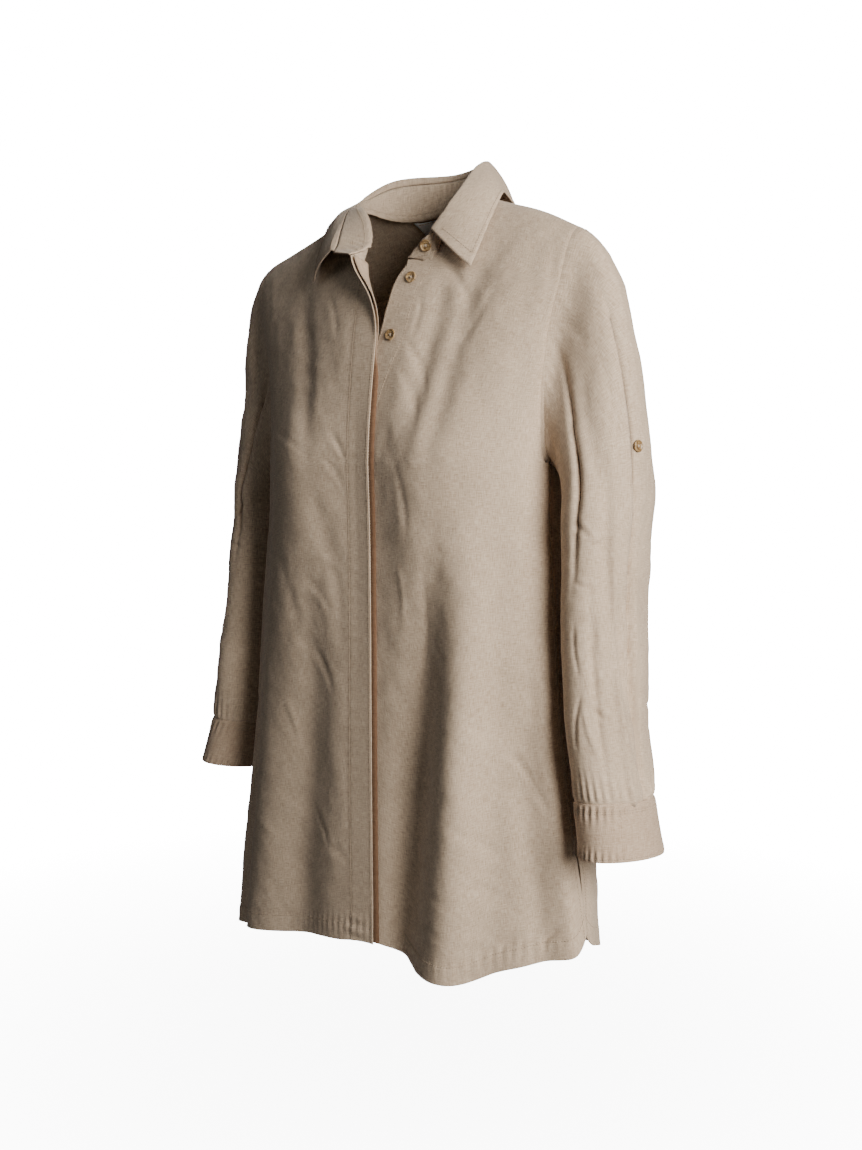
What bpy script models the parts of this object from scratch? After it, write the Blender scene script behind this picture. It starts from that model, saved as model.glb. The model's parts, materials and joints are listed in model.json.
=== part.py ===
"""A long-sleeved linen tunic shirt with a concealed button front, hollow and filled out as worn.

Metres, +Z up. The front faces -Y and the wearer's left is +X. The origin lies between the two points
where the shoulder seams meet the neckline. Every cloth piece is one closed wall: a grid of outer points
worked out from the sizes below, and the same grid moved in by the wall's thickness.
"""

import math

import bmesh
import bpy
import numpy as np

# Wall thicknesses and clearances
CLOTH = 0.0012
COLLAR_CLOTH = 0.0016
SEAM = 0.0004
LAYER_GAP = 0.0004

# Driving sizes of the shirt
NECK_HALF = 0.066
SHOULDER_HALF = 0.195
ARMPIT_Z = -0.263
SLIT_TOP_Z = -0.630
SLIT_GAP = 0.0035
HEM_CORNER = 0.026
YOKE_DROP = 0.057
BACK_NECK_Z = 0.001
PLACKET = 0.029
OVERLAP = 0.018

# Roundness of the body's sections (2 is an ellipse) and how the chest and back fall away to the shoulder
BOX = 2.4
CHEST_FALL = 2.2
BACK_FALL = 5.0
SHOULDER_REACH = 0.226
ARC_PER_DEGREE = 0.0024

# Height of the shoulder line across the body, the wearer's left positive
RIDGE = (
    dict(x=-0.260, z=-0.0710),
    dict(x=-0.195, z=-0.0465),
    dict(x=-0.140, z=-0.0285),
    dict(x=-0.095, z=-0.0125),
    dict(x=-0.066, z=-0.0015),
    dict(x=0.000, z=0.0240),
    dict(x=0.066, z=0.0010),
    dict(x=0.115, z=-0.0145),
    dict(x=0.155, z=-0.0275),
    dict(x=0.195, z=-0.0465),
    dict(x=0.260, z=-0.0710),
)

# Level sections of the body: half width, depth in front of and behind the side seam, the side seam's y
BODY = (
    dict(z=-0.780, half=0.231, front=0.064, back=0.102, side=-0.018),
    dict(z=-0.700, half=0.221, front=0.065, back=0.099, side=-0.018),
    dict(z=-0.553, half=0.197, front=0.064, back=0.094, side=-0.020),
    dict(z=-0.403, half=0.182, front=0.066, back=0.095, side=-0.017),
    dict(z=-0.320, half=0.173, front=0.071, back=0.101, side=-0.012),
    dict(z=-0.263, half=0.170, front=0.077, back=0.107, side=-0.008),
)

# Height of the hem by degrees round from centre front
HEM = (
    dict(degrees=-180, z=-0.752),
    dict(degrees=-125, z=-0.764),
    dict(degrees=-88, z=-0.776),
    dict(degrees=-60, z=-0.770),
    dict(degrees=-22, z=-0.751),
    dict(degrees=-5, z=-0.740),
    dict(degrees=3, z=-0.735),
    dict(degrees=10, z=-0.749),
    dict(degrees=18, z=-0.749),
    dict(degrees=28, z=-0.748),
    dict(degrees=40, z=-0.735),
    dict(degrees=66, z=-0.721),
    dict(degrees=90, z=-0.716),
    dict(degrees=125, z=-0.735),
    dict(degrees=180, z=-0.752),
)
HEM_Z = -0.728

# Half width of the body at the armhole seam, by share of the way from armpit to shoulder
ARMHOLE = (
    dict(share=0.00, x=0.1700),
    dict(share=0.03, x=0.1693),
    dict(share=0.11, x=0.1698),
    dict(share=0.17, x=0.1710),
    dict(share=0.34, x=0.178),
    dict(share=0.56, x=0.190),
    dict(share=0.80, x=0.1945),
    dict(share=1.00, x=0.195),
)

# Front edge of the wearer's left front, which is pulled open above the fourth button
LEFT_EDGE = (
    dict(z=-0.780, x=-0.018),
    dict(z=-0.310, x=-0.018),
    dict(z=-0.220, x=-0.010),
    dict(z=-0.170, x=0.006),
    dict(z=-0.140, x=0.0175),
    dict(z=-0.110, x=0.0235),
    dict(z=-0.084, x=0.0300),
    dict(z=-0.068, x=0.0390),
)
NECK_END_LEFT_Z = -0.068
NECK_END_RIGHT_Z = -0.075
V_BOTTOM_Z = -0.150

# Front neckline: distance from the middle by share of the rise from the front's end to the shoulder seam
NECKLINE = (
    dict(share=0.00, left=0.039, right=-0.018),
    dict(share=0.06, left=0.057, right=-0.008),
    dict(share=0.16, left=0.069, right=0.001),
    dict(share=0.35, left=0.072, right=0.013),
    dict(share=0.60, left=0.071, right=0.029),
    dict(share=0.85, left=0.068, right=0.050),
    dict(share=1.00, left=0.066, right=0.066),
)

# The right front rolls open like a lapel above the closed part: where the roll starts, and how far it turns
ROLL = (
    dict(z=-0.150, x=-0.018, turn=0.0),
    dict(z=-0.112, x=-0.004, turn=50.0),
    dict(z=-0.082, x=0.010, turn=86.0),
    dict(z=-0.068, x=0.013, turn=86.0),
    dict(z=-0.054, x=0.012, turn=60.0),
    dict(z=-0.044, x=0.013, turn=20.0),
    dict(z=-0.030, x=0.024, turn=0.0),
    dict(z=0.030, x=0.060, turn=0.0),
)
ROLL_RADIUS = 0.009

# Bust fullness let in by the darts, and the forward stand of the opened neck
BUST = dict(x=0.088, z=-0.258, wide=0.052, above=0.062, below=0.200, out=0.017)

# Folds of the body: where they start and end (degrees round from centre front, wearer's left positive),
# the heights of their ends, their half width and how far they stand out (in where negative)
BODY_FOLDS = (
    dict(name="left front trough", top=31, top_z=-0.25, low=-7, low_z=-1.05, width=0.017, out=-0.018),
    dict(name="left front ridge", top=46, top_z=-0.24, low=8, low_z=-1.05, width=0.024, out=0.026),
    dict(name="left hip trough", top=60, top_z=-0.42, low=61, low_z=-1.00, width=0.022, out=-0.008),
    dict(name="left side ridge", top=76, top_z=-0.34, low=76, low_z=-1.00, width=0.016, out=0.003),
    dict(name="left neck drag", top=24, top_z=-0.03, low=17, low_z=-0.27, width=0.011, out=-0.006),
    dict(name="left collar drag", top=36, top_z=0.00, low=26, low_z=-0.30, width=0.012, out=-0.005),
    dict(name="right front trough", top=-14, top_z=-0.26, low=-21, low_z=-1.00, width=0.018, out=-0.009),
    dict(name="right front ridge", top=-36, top_z=-0.26, low=-40, low_z=-1.05, width=0.030, out=0.008),
    dict(name="right hip trough", top=-62, top_z=-0.38, low=-58, low_z=-1.00, width=0.022, out=-0.008),
    dict(name="right neck drag", top=-30, top_z=-0.02, low=-14, low_z=-0.30, width=0.012, out=-0.004),
    dict(name="back left ridge", top=128, top_z=-0.16, low=124, low_z=-1.05, width=0.028, out=0.010),
    dict(name="back left trough", top=146, top_z=-0.20, low=148, low_z=-1.05, width=0.022, out=-0.011),
    dict(name="back middle ridge", top=178, top_z=-0.24, low=174, low_z=-1.05, width=0.030, out=0.010),
    dict(name="back right trough", top=207, top_z=-0.20, low=205, low_z=-1.05, width=0.022, out=-0.010),
    dict(name="back right ridge", top=234, top_z=-0.16, low=238, low_z=-1.05, width=0.028, out=0.010),
)

# Level sections of the hanging left sleeve: centre, half thickness and half depth
SLEEVE = (
    dict(z=-0.300, x=0.2155, y=0.020, out=0.034, fore=0.060),
    dict(z=-0.360, x=0.2185, y=0.012, out=0.033, fore=0.058),
    dict(z=-0.450, x=0.2245, y=0.003, out=0.032, fore=0.057),
    dict(z=-0.530, x=0.2345, y=-0.003, out=0.031, fore=0.054),
    dict(z=-0.570, x=0.2405, y=-0.006, out=0.032, fore=0.048),
)

# How each sleeve hangs: lift of its lower end, shift outwards above and below, the cuff's outward slant
HANG = (
    dict(side=1, lift=0.0, high=0.0, low=0.0, slant=0.20),
    dict(side=-1, lift=0.022, high=-0.008, low=-0.006, slant=0.26),
)
SLEEVE_LEAN_OUT = 0.090
SLEEVE_LEAN_FORE = 0.080
CUFF_DEPTH = 0.050
CUFF_FLARE = 1.05
CUFF_CLOTH = 0.0018
CUFF_OVERLAP_DEGREES = 34
CUFF_OPENING_DEGREES = 262

# Folds along the sleeve, in degrees round it (0 is the outer side, 90 the front)
SLEEVE_FOLDS = (
    dict(name="pleat trough", top=24, top_z=-0.20, low=-9, low_z=-0.66, width=0.009, out=-0.0080),
    dict(name="pleat ridge", top=46, top_z=-0.20, low=12, low_z=-0.70, width=0.012, out=0.0035),
    dict(name="armhole trough", top=58, top_z=-0.04, low=92, low_z=-0.40, width=0.013, out=-0.0075),
    dict(name="elbow trough", top=66, top_z=-0.36, low=52, low_z=-0.56, width=0.012, out=-0.0035),
    dict(name="back trough", top=-44, top_z=-0.10, low=-58, low_z=-0.62, width=0.016, out=-0.0060),
    dict(name="inner trough", top=215, top_z=-0.24, low=220, low_z=-0.66, width=0.016, out=-0.0050),
)

# The collar by station along the neckline: 0 is the right front end, 1 and 2 the shoulder seams, 3 the
# left front end. The stand rises from the neckline towards the roll, and the fall drops from it to its edge
COLLAR = (
    dict(at=0.00, roll_x=-0.038, roll_y=-0.083, roll_z=-0.056, edge_x=-0.078, edge_y=-0.066, edge_z=-0.083),
    dict(at=0.35, roll_x=-0.044, roll_y=-0.071, roll_z=-0.041, edge_x=-0.080, edge_y=-0.058, edge_z=-0.062),
    dict(at=0.60, roll_x=-0.056, roll_y=-0.049, roll_z=-0.023, edge_x=-0.084, edge_y=-0.047, edge_z=-0.042),
    dict(at=0.85, roll_x=-0.071, roll_y=-0.018, roll_z=-0.001, edge_x=-0.095, edge_y=-0.020, edge_z=-0.014),
    dict(at=1.00, roll_x=-0.079, roll_y=0.008, roll_z=0.011, edge_x=-0.101, edge_y=0.003, edge_z=-0.006),
    dict(at=1.22, roll_x=-0.062, roll_y=0.041, roll_z=0.034, edge_x=-0.090, edge_y=0.054, edge_z=-0.012),
    dict(at=1.50, roll_x=0.000, roll_y=0.067, roll_z=0.037, edge_x=0.000, edge_y=0.097, edge_z=-0.016),
    dict(at=1.78, roll_x=0.057, roll_y=0.043, roll_z=0.037, edge_x=0.082, edge_y=0.062, edge_z=-0.011),
    dict(at=2.00, roll_x=0.073, roll_y=0.006, roll_z=0.027, edge_x=0.104, edge_y=0.014, edge_z=-0.003),
    dict(at=2.25, roll_x=0.084, roll_y=-0.034, roll_z=-0.001, edge_x=0.116, edge_y=-0.012, edge_z=-0.010),
    dict(at=2.50, roll_x=0.081, roll_y=-0.050, roll_z=-0.0195, edge_x=0.120, edge_y=-0.037, edge_z=-0.038),
    dict(at=2.75, roll_x=0.0745, roll_y=-0.0555, roll_z=-0.0355, edge_x=0.117, edge_y=-0.052, edge_z=-0.066),
    dict(at=3.00, roll_x=0.064, roll_y=-0.062, roll_z=-0.048, edge_x=0.110, edge_y=-0.061, edge_z=-0.091),
)
STAND_SHARE = 0.84
COLLAR_ROLL = 0.0032
COLLAR_CLEAR = 0.0040
ROLL_CLEAR = 0.0080
COLLAR_STEP = 0.11

BUTTON_RADIUS = 0.0057
BUTTON_THICK = 0.0018
BUTTON_SEAT = 0.0005
NECK_BUTTONS_Z = (-0.082, -0.138)
NECK_BUTTON_INSET = 0.0145
FLY_BUTTONS_Z = (-0.222, -0.306, -0.390, -0.474, -0.558)
STAND_BUTTON_PLACE = 1.2
TAB_BUTTON = dict(degrees=12, z=-0.248)

LABEL_HALF_TOP = 0.043
LABEL_HALF_LOW = 0.036
LABEL_DROP = 0.018
LABEL_THICK = 0.001
LABEL_START = 0.03
LABEL_TURN = 0.13

# How far each layer's outer face stands off the body at the closed front
FLY_UNDER = LAYER_GAP + CLOTH
FLY_BUTTON_ROOM = BUTTON_SEAT + BUTTON_THICK + LAYER_GAP
FLY_OUTER = FLY_UNDER + FLY_BUTTON_ROOM + CLOTH

# Grid sizes
FRONT_COLUMNS = 17
EDGE_COLUMNS = (0.0, 0.007, 0.0145, 0.0225)
BACK_COLUMNS = 23
BODY_LOW_ROWS = 12
YOKE_ROWS = 5
ARMPIT_LEVELS = (0.0, 0.045)
CHEST_SHARES = (0.20, 0.38, 0.54, 0.66, 0.76, 0.84, 0.92)
SLEEVE_ROUND = 22
SLEEVE_CAP_ROWS = 6
SLEEVE_ARM_ROWS = 11
CUFF_ROUND = 26
BUTTON_SIDES = 12

QUARTER = math.pi / 2
TINY = 1e-4


def column(table, key, name, at):
    """A table's column as a smooth curve: cubic pieces whose slopes come from the neighbouring rows."""
    rows = sorted(table, key=lambda row: row[key])
    x = np.array([row[key] for row in rows], float)
    y = np.array([row[name] for row in rows], float)
    slope = np.gradient(y, x)
    steps = np.diff(y) / np.diff(x)
    slope[0], slope[-1] = steps[0], steps[-1]
    at = np.clip(np.asarray(at, float), x[0], x[-1])
    i = np.clip(np.searchsorted(x, at) - 1, 0, len(x) - 2)
    gap = x[i + 1] - x[i]
    t = (at - x[i]) / gap
    a = (1 + 2 * t) * (1 - t) ** 2 * y[i] + t * (1 - t) ** 2 * gap * slope[i]
    b = t * t * (3 - 2 * t) * y[i + 1] + t * t * (t - 1) * gap * slope[i + 1]
    return a + b


def ease(t):
    t = np.clip(t, 0, 1)
    return t * t * (3 - 2 * t)


def unit(vectors):
    vectors = np.asarray(vectors, float)
    return vectors / np.maximum(np.linalg.norm(vectors, axis=-1, keepdims=True), 1e-12)


def signed_power(value, power):
    return np.sign(value) * np.abs(value) ** power


def ridge_height(x):
    """Height of the shoulder line at this distance across the body."""
    return column(RIDGE, "x", "z", x)


def fold_height(folds, degrees, z):
    """How far the folds push the cloth out at this place, in metres."""
    total = np.zeros(np.broadcast(degrees, z).shape)
    for fold in folds:
        t = (fold["top_z"] - z) / (fold["top_z"] - fold["low_z"])
        middle = fold["top"] + (fold["low"] - fold["top"]) * np.clip(t, 0, 1)
        away = (degrees - middle + 180) % 360 - 180
        reach = np.exp(-((away * ARC_PER_DEGREE / fold["width"]) ** 2))
        total = total + fold["out"] * reach * ease(t / 0.45) * ease((1 - t) / 0.3)
    return total


def body_half(rise):
    """Half width of the body's section, which widens to the shoulder above the armpit."""
    return BODY[-1]["half"] + (SHOULDER_REACH - BODY[-1]["half"]) * rise**2


def body_surface(turn, level):
    """Points of the body. turn goes round from centre front; level is metres below the armpit where
    negative, and above it the angle (0 to a quarter turn) of the rise to the shoulder line."""
    turn, level = np.broadcast_arrays(np.asarray(turn, float), np.asarray(level, float))
    rise = np.sin(np.clip(level, 0, QUARTER))
    z_low = ARMPIT_Z + np.minimum(level, 0)
    half = np.where(level < 0, column(BODY, "z", "half", z_low), body_half(rise))
    front = column(BODY, "z", "front", z_low) * np.sqrt(1 - rise**CHEST_FALL)
    back = column(BODY, "z", "back", z_low) * np.sqrt(1 - rise**BACK_FALL)
    side = column(BODY, "z", "side", z_low) * (1 - rise)
    across = signed_power(np.sin(turn), 2 / BOX)
    along = signed_power(np.cos(turn), 2 / BOX)
    x = half * across
    depth = np.where(np.cos(turn) > 0, front, back)
    y = side - depth * along
    z = np.where(level < 0, z_low, ARMPIT_Z + (ridge_height(x) - ARMPIT_Z) * rise)
    return np.stack([x, y, z], -1)


def cloth_surface(turn, level):
    """The body with its bust fullness and folds."""
    points = body_surface(turn, level)
    turn, level = np.broadcast_arrays(np.asarray(turn, float), np.asarray(level, float))
    x, y, z = points[..., 0], points[..., 1], points[..., 2]
    front = np.cos(turn) > 0
    dz = z - BUST["z"]
    spread = np.where(dz > 0, BUST["above"], BUST["below"])
    bust = BUST["out"] * np.exp(-(((np.abs(x) - BUST["x"]) / BUST["wide"]) ** 2) - (dz / spread) ** 2)
    fade = np.sqrt(np.clip(np.cos(np.clip(level, 0, QUARTER)), 0, 1))
    push = fold_height(BODY_FOLDS, np.degrees(turn), z) * fade
    push = push * np.where(front, ease((np.abs(x) - 0.019) / 0.028), 1)
    out = unit(np.stack([np.sin(turn), -np.cos(turn) * 1.6, np.zeros_like(z)], -1))
    points = points + out * push[..., None]
    points[..., 1] -= np.where(front, bust, 0) * np.abs(np.cos(turn)) ** 0.5
    return points


def surface_normals(surface, turn, level):
    """Outward normals of a surface given by turn and level."""
    above = np.minimum(level + TINY, QUARTER)
    across = surface(turn + TINY, level) - surface(turn - TINY, level)
    up = surface(turn, above) - surface(turn, level - TINY)
    return unit(np.cross(across, up))


def turn_at(x, level):
    """The turn at which the body's section at this level is x from the middle, on the front."""
    half = column(BODY, "z", "half", ARMPIT_Z + min(level, 0))
    half = half if level < 0 else body_half(math.sin(level))
    share = min(abs(x) / float(half), 1.0)
    return math.copysign(math.asin(share ** (BOX / 2)), x)


def level_at(x, z):
    """The level at which the body is this high, above a point this far from the middle."""
    if z < ARMPIT_Z:
        return z - ARMPIT_Z
    return math.asin(min(1.0, (z - ARMPIT_Z) / (float(ridge_height(x)) - ARMPIT_Z)))


def spread_turns(first, last, level, count, first_steps=()):
    """Turns between two, at even distances along the cloth past any that are given."""
    turns = np.linspace(first, last, 240)
    points = body_surface(turns, level)
    run = np.concatenate([[0], np.cumsum(np.linalg.norm(np.diff(points, axis=0), axis=1))])
    at = np.linspace(0, run[-1], count)
    if first_steps:
        at = np.concatenate([first_steps, np.linspace(first_steps[-1] + 0.012, run[-1], count - len(first_steps))])
    return np.interp(at, run, turns), run[-1]


def side_turn(level, depth, clear):
    """The turn at which a panel's side edge leaves half the clearance to the side seam."""
    deep = float(column(BODY, "z", depth, ARMPIT_Z + level))
    return math.acos((clear / 2 / deep) ** (BOX / 2))


def low_levels(share, turns):
    """Levels below the armpit at a share of the way up from the hem, for each turn."""
    degrees = (np.degrees(turns) + 180) % 360 - 180
    return (column(HEM, "degrees", "z", degrees) - ARMPIT_Z) * (1 - share)


def hem_rise(away):
    """How far the hem's rounded corner rises at this distance from the side edge."""
    inside = np.clip(HEM_CORNER - away, 0, HEM_CORNER)
    return HEM_CORNER - np.sqrt(HEM_CORNER**2 - inside**2)


def wall_object(name, outer, normals, thick, around=False):
    """One closed wall from a grid of outer points and the normals it is thickened along. around joins
    the last column to the first."""
    rows, columns = outer.shape[:2]
    inner = outer - unit(normals) * thick
    points = np.concatenate([outer.reshape(-1, 3), inner.reshape(-1, 3)])
    half = rows * columns
    faces = []
    last = columns if around else columns - 1
    for r in range(rows - 1):
        for c in range(last):
            d = (c + 1) % columns
            a, b, e, f = r * columns + c, r * columns + d, (r + 1) * columns + d, (r + 1) * columns + c
            faces += [(a, b, e), (a, e, f)]
            faces += [(half + a, half + e, half + b), (half + a, half + f, half + e)]
    for c in range(last):
        d = (c + 1) % columns
        low_a, low_b = c, d
        high_a, high_b = (rows - 1) * columns + c, (rows - 1) * columns + d
        faces.append((half + low_a, half + low_b, low_b, low_a))
        faces.append((high_a, high_b, half + high_b, half + high_a))
    if not around:
        for r in range(rows - 1):
            a, b = r * columns, (r + 1) * columns
            e, f = a + columns - 1, b + columns - 1
            faces.append((half + b, half + a, a, b))
            faces.append((half + e, half + f, f, e))
    return mesh_object(name, points, faces)


def mesh_object(name, points, faces):
    mesh = bpy.data.meshes.new(name)
    mesh.from_pydata([tuple(p) for p in points], [], faces)
    shaped = bmesh.new()
    shaped.from_mesh(mesh)
    bmesh.ops.recalc_face_normals(shaped, faces=shaped.faces)
    shaped.to_mesh(mesh)
    shaped.free()
    for polygon in mesh.polygons:
        polygon.use_smooth = True
    mesh.set_sharp_from_angle(angle=math.radians(50))
    made = bpy.data.objects.new(name, mesh)
    bpy.context.scene.collection.objects.link(made)
    return made


def front_levels(neck_end):
    """Levels of a front's rows, from hem to shoulder seam, with more rows where the neckline turns."""
    low = np.linspace(HEM_Z - ARMPIT_Z, 0, BODY_LOW_ROWS, endpoint=False)
    chest = np.concatenate([ARMPIT_LEVELS, neck_end * np.array(CHEST_SHARES)])
    neck = neck_end + (QUARTER - neck_end) * np.array([0, 0.06, 0.14, 0.28, 0.50, 0.75, 1])
    return np.concatenate([low, chest, neck])


def row_levels(level, turns, run, both_ends):
    """Levels along a row: level above the armpit, and following the hem and its corners below it."""
    if level >= 0:
        return np.full(len(turns), level)
    share = 1 - level / (HEM_Z - ARMPIT_Z)
    away = np.linspace(run, 0, len(turns))
    if both_ends:
        away = np.minimum(away, away[::-1])
    return low_levels(share, turns) + hem_rise(away) * (1 - ease(share / 0.25))


def neckline_x(level, end_level, side):
    """Distance of the front neckline from the middle, from its front end up to the shoulder seam."""
    share = (math.sin(level) - math.sin(end_level)) / (1 - math.sin(end_level))
    return float(column(NECKLINE, "share", "left" if side > 0 else "right", max(share, 0)))


def armhole_x(level):
    return float(column(ARMHOLE, "share", "x", level / QUARTER))


def front_grid(side):
    """Turns and levels of a front's grid. side is 1 for the wearer's left and -1 for the right."""
    end_z = NECK_END_LEFT_Z if side > 0 else NECK_END_RIGHT_Z
    end_x = float(column(LEFT_EDGE, "z", "x", end_z)) if side > 0 else -OVERLAP
    end_level = level_at(end_x, end_z)
    turns, levels = [], []
    for level in front_levels(end_level):
        if level < end_level - TINY:
            z = ARMPIT_Z + level if level < 0 else ARMPIT_Z + (0.02 - ARMPIT_Z) * math.sin(level)
            x_in = float(column(LEFT_EDGE, "z", "x", z)) if side > 0 else -OVERLAP
        else:
            x_in = neckline_x(level, end_level, side)
        if level <= 0:
            clear = SLIT_GAP if ARMPIT_Z + level < SLIT_TOP_Z else SEAM
            last = side_turn(level, "front", clear)
        else:
            last = turn_at(armhole_x(level) - SEAM / 2, level)
        row, run = spread_turns(turn_at(x_in, level), last, level, FRONT_COLUMNS, EDGE_COLUMNS)
        turns.append(row * side)
        levels.append(row_levels(level, row * side, run, False))
    turns, levels = np.array(turns), np.array(levels)
    if side < 0:
        turns, levels = turns[:, ::-1], levels[:, ::-1]
    return turns, levels


def front_offset(points, side):
    """How far a front stands off the body: the wearer's right front passes over the left at the closure."""
    if side > 0:
        return np.zeros(points.shape[:2])
    near_shoulder = ease((points[..., 2] + 0.060) / 0.045)
    return FLY_OUTER * (1 - ease((-points[..., 0] - 0.03) / 0.10)) * (1 - near_shoulder)


def roll_open(outer, normals):
    """Turns the upper part of the right front's edge out round the roll line, as a lapel."""
    outer, normals = outer.copy(), normals.copy()
    for r in range(outer.shape[0]):
        row, across = outer[r].copy(), normals[r].copy()
        z = row[-1, 2]
        if z < V_BOTTOM_Z:
            continue
        line_x = -float(column(ROLL, "z", "x", z))
        turn = math.radians(float(column(ROLL, "z", "turn", z)))
        past = np.nonzero(row[:, 0] > line_x)[0]
        if not len(past) or past[0] == 0 or turn < 0.01:
            continue
        k = past[0]
        share = (line_x - row[k - 1, 0]) / (row[k, 0] - row[k - 1, 0])
        start = row[k - 1] + (row[k] - row[k - 1]) * share
        ahead = unit(row[k] - row[k - 1])
        face = unit(across[k - 1] + (across[k] - across[k - 1]) * share)
        face = unit(face - ahead * (face @ ahead))
        run = np.linalg.norm(row[k] - start)
        for c in range(k, len(row)):
            if c > k:
                run += np.linalg.norm(row[c] - row[c - 1])
            angle = min(run / ROLL_RADIUS, turn)
            rest = run - ROLL_RADIUS * angle
            bent = ROLL_RADIUS * (math.sin(angle) * ahead + (1 - math.cos(angle)) * face)
            straight = rest * (math.cos(angle) * ahead + math.sin(angle) * face)
            outer[r, c] = start + bent + straight
            normals[r, c] = math.cos(angle) * face - math.sin(angle) * ahead
    return outer, normals


def front_piece(side):
    """Outer points and normals of a front."""
    turns, levels = front_grid(side)
    outer = cloth_surface(turns, levels)
    normals = surface_normals(cloth_surface, turns, levels)
    outer = outer + normals * front_offset(outer, side)[..., None]
    if side < 0:
        outer, normals = roll_open(outer, normals)
    return outer, normals


def back_grid():
    """Turns and levels of the back, from the hem to the yoke seam."""
    low = np.linspace(HEM_Z - ARMPIT_Z, 0, BODY_LOW_ROWS, endpoint=False)
    turns, levels = [], []
    for level in np.concatenate([low, back_high_levels()]):
        if level <= 0:
            clear = SLIT_GAP if ARMPIT_Z + level < SLIT_TOP_Z else SEAM
            first = math.pi - side_turn(level, "back", clear)
        else:
            first = math.pi - turn_at(armhole_x(level) - SEAM / 2, level)
        row, run = spread_turns(first, 2 * math.pi - first, level, BACK_COLUMNS)
        turns.append(row)
        levels.append(row_levels(level, row, run, True))
    return np.array(turns), np.array(levels)


def back_high_levels():
    """Levels of the back's rows from the armpit to the yoke seam."""
    return np.concatenate([ARMPIT_LEVELS, np.linspace(0, level_at(0.0, -YOKE_DROP), 6)[1:]])


def back_neck_level(x):
    """Level of the back neckline, which dips from the shoulder seams to the middle."""
    middle = level_at(0.0, BACK_NECK_Z)
    share = min(abs(x) / NECK_HALF, 1.0)
    return middle + (QUARTER - middle) * (1 - math.sqrt(1 - share**2.2))


def yoke_grid():
    """Turns and levels of the yoke: its lower edge is the yoke seam, and its upper edge runs along one
    shoulder seam, the back neckline and the other shoulder seam."""
    low_level = level_at(0.0, -YOKE_DROP) + 2 * SEAM / 0.2
    reach = armhole_x(low_level) - SEAM / 2
    neck = np.linspace(NECK_HALF, -NECK_HALF, 13)
    left = np.linspace(SHOULDER_HALF - SEAM / 2, NECK_HALF, 7)[:-1]
    top_x = np.concatenate([left, neck, -left[::-1]])
    low_x = top_x / (SHOULDER_HALF - SEAM / 2) * reach
    turns, levels = [], []
    for share in np.linspace(0, 1, YOKE_ROWS):
        row_turns, row_levels = [], []
        for low, high in zip(low_x, top_x):
            inside = abs(high) <= NECK_HALF
            top_level = back_neck_level(high) if inside else QUARTER
            level = low_level + (top_level - low_level) * share
            x = low + (high - low) * share
            reach_x = armhole_x(level) - SEAM / 2
            if abs(high) > SHOULDER_HALF - SEAM:
                x = math.copysign(reach_x, high)
            row_turns.append(math.pi - turn_at(x, level))
            row_levels.append(level)
        turns.append(row_turns)
        levels.append(row_levels)
    return np.array(turns), np.array(levels)


def shoulder_normal(points):
    """Normals along a shoulder seam, the same for the front and the yoke that meet there."""
    slope = (ridge_height(points[:, 0] + 0.004) - ridge_height(points[:, 0] - 0.004)) / 0.008
    return unit(np.stack([-slope, np.zeros(len(points)), np.ones(len(points))], -1))


def part_at_shoulder(outer, normals, columns, way):
    """Squares a panel's top row to the shoulder seam and draws it back by half the seam's clearance."""
    normals[-1, columns] = shoulder_normal(outer[-1, columns])
    outer[-1, columns, 1] += way * SEAM


def armhole_loop(side):
    """Points, outward normals and edge directions round an armhole, from the shoulder seam down the
    front to the armpit and up the back."""
    halves = []
    end_z = NECK_END_LEFT_Z if side > 0 else NECK_END_RIGHT_Z
    end_x = float(column(LEFT_EDGE, "z", "x", end_z)) if side > 0 else -OVERLAP
    front_rows = front_levels(level_at(end_x, end_z))
    yoke_rows = np.linspace(level_at(0.0, -YOKE_DROP), QUARTER, YOKE_ROWS)[1:]
    back_rows = np.concatenate([back_high_levels(), yoke_rows])
    for face, rows in ((1, front_rows[front_rows >= 0]), (-1, back_rows)):
        levels = rows[::-1]
        xs = np.array([armhole_x(level) + SEAM for level in levels])
        turns = np.array([turn_at(x, level) for x, level in zip(xs, levels)])
        turns = turns if face > 0 else math.pi - turns
        points = body_surface(turns, levels)
        normals = surface_normals(body_surface, turns, levels)
        normals[0] = shoulder_normal(points[:1])
        run = np.concatenate([[0], np.cumsum(np.linalg.norm(np.diff(points, axis=0), axis=1))])
        at = run[-1] * (1 - np.linspace(1, 0, SLEEVE_ROUND // 2 + 1) ** 1.2)
        halves.append([np.stack([np.interp(at, run, a[:, k]) for k in range(3)], -1) for a in (points, normals)])
    (front, front_n), (back, back_n) = halves
    points = np.concatenate([front, back[-2:0:-1]])
    normals = unit(np.concatenate([front_n, back_n[-2:0:-1]]))
    along = np.roll(points, -1, axis=0) - np.roll(points, 1, axis=0)
    away = unit(np.cross(normals, along))
    away *= np.where(away[:, :1] < 0, -1, 1)
    if side < 0:
        flip = np.array([-1, 1, 1])
        points, normals, away = points * flip, normals * flip, away * flip
    return points, normals, away


def hang_of(side):
    return next(row for row in HANG if row["side"] == side)


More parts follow.
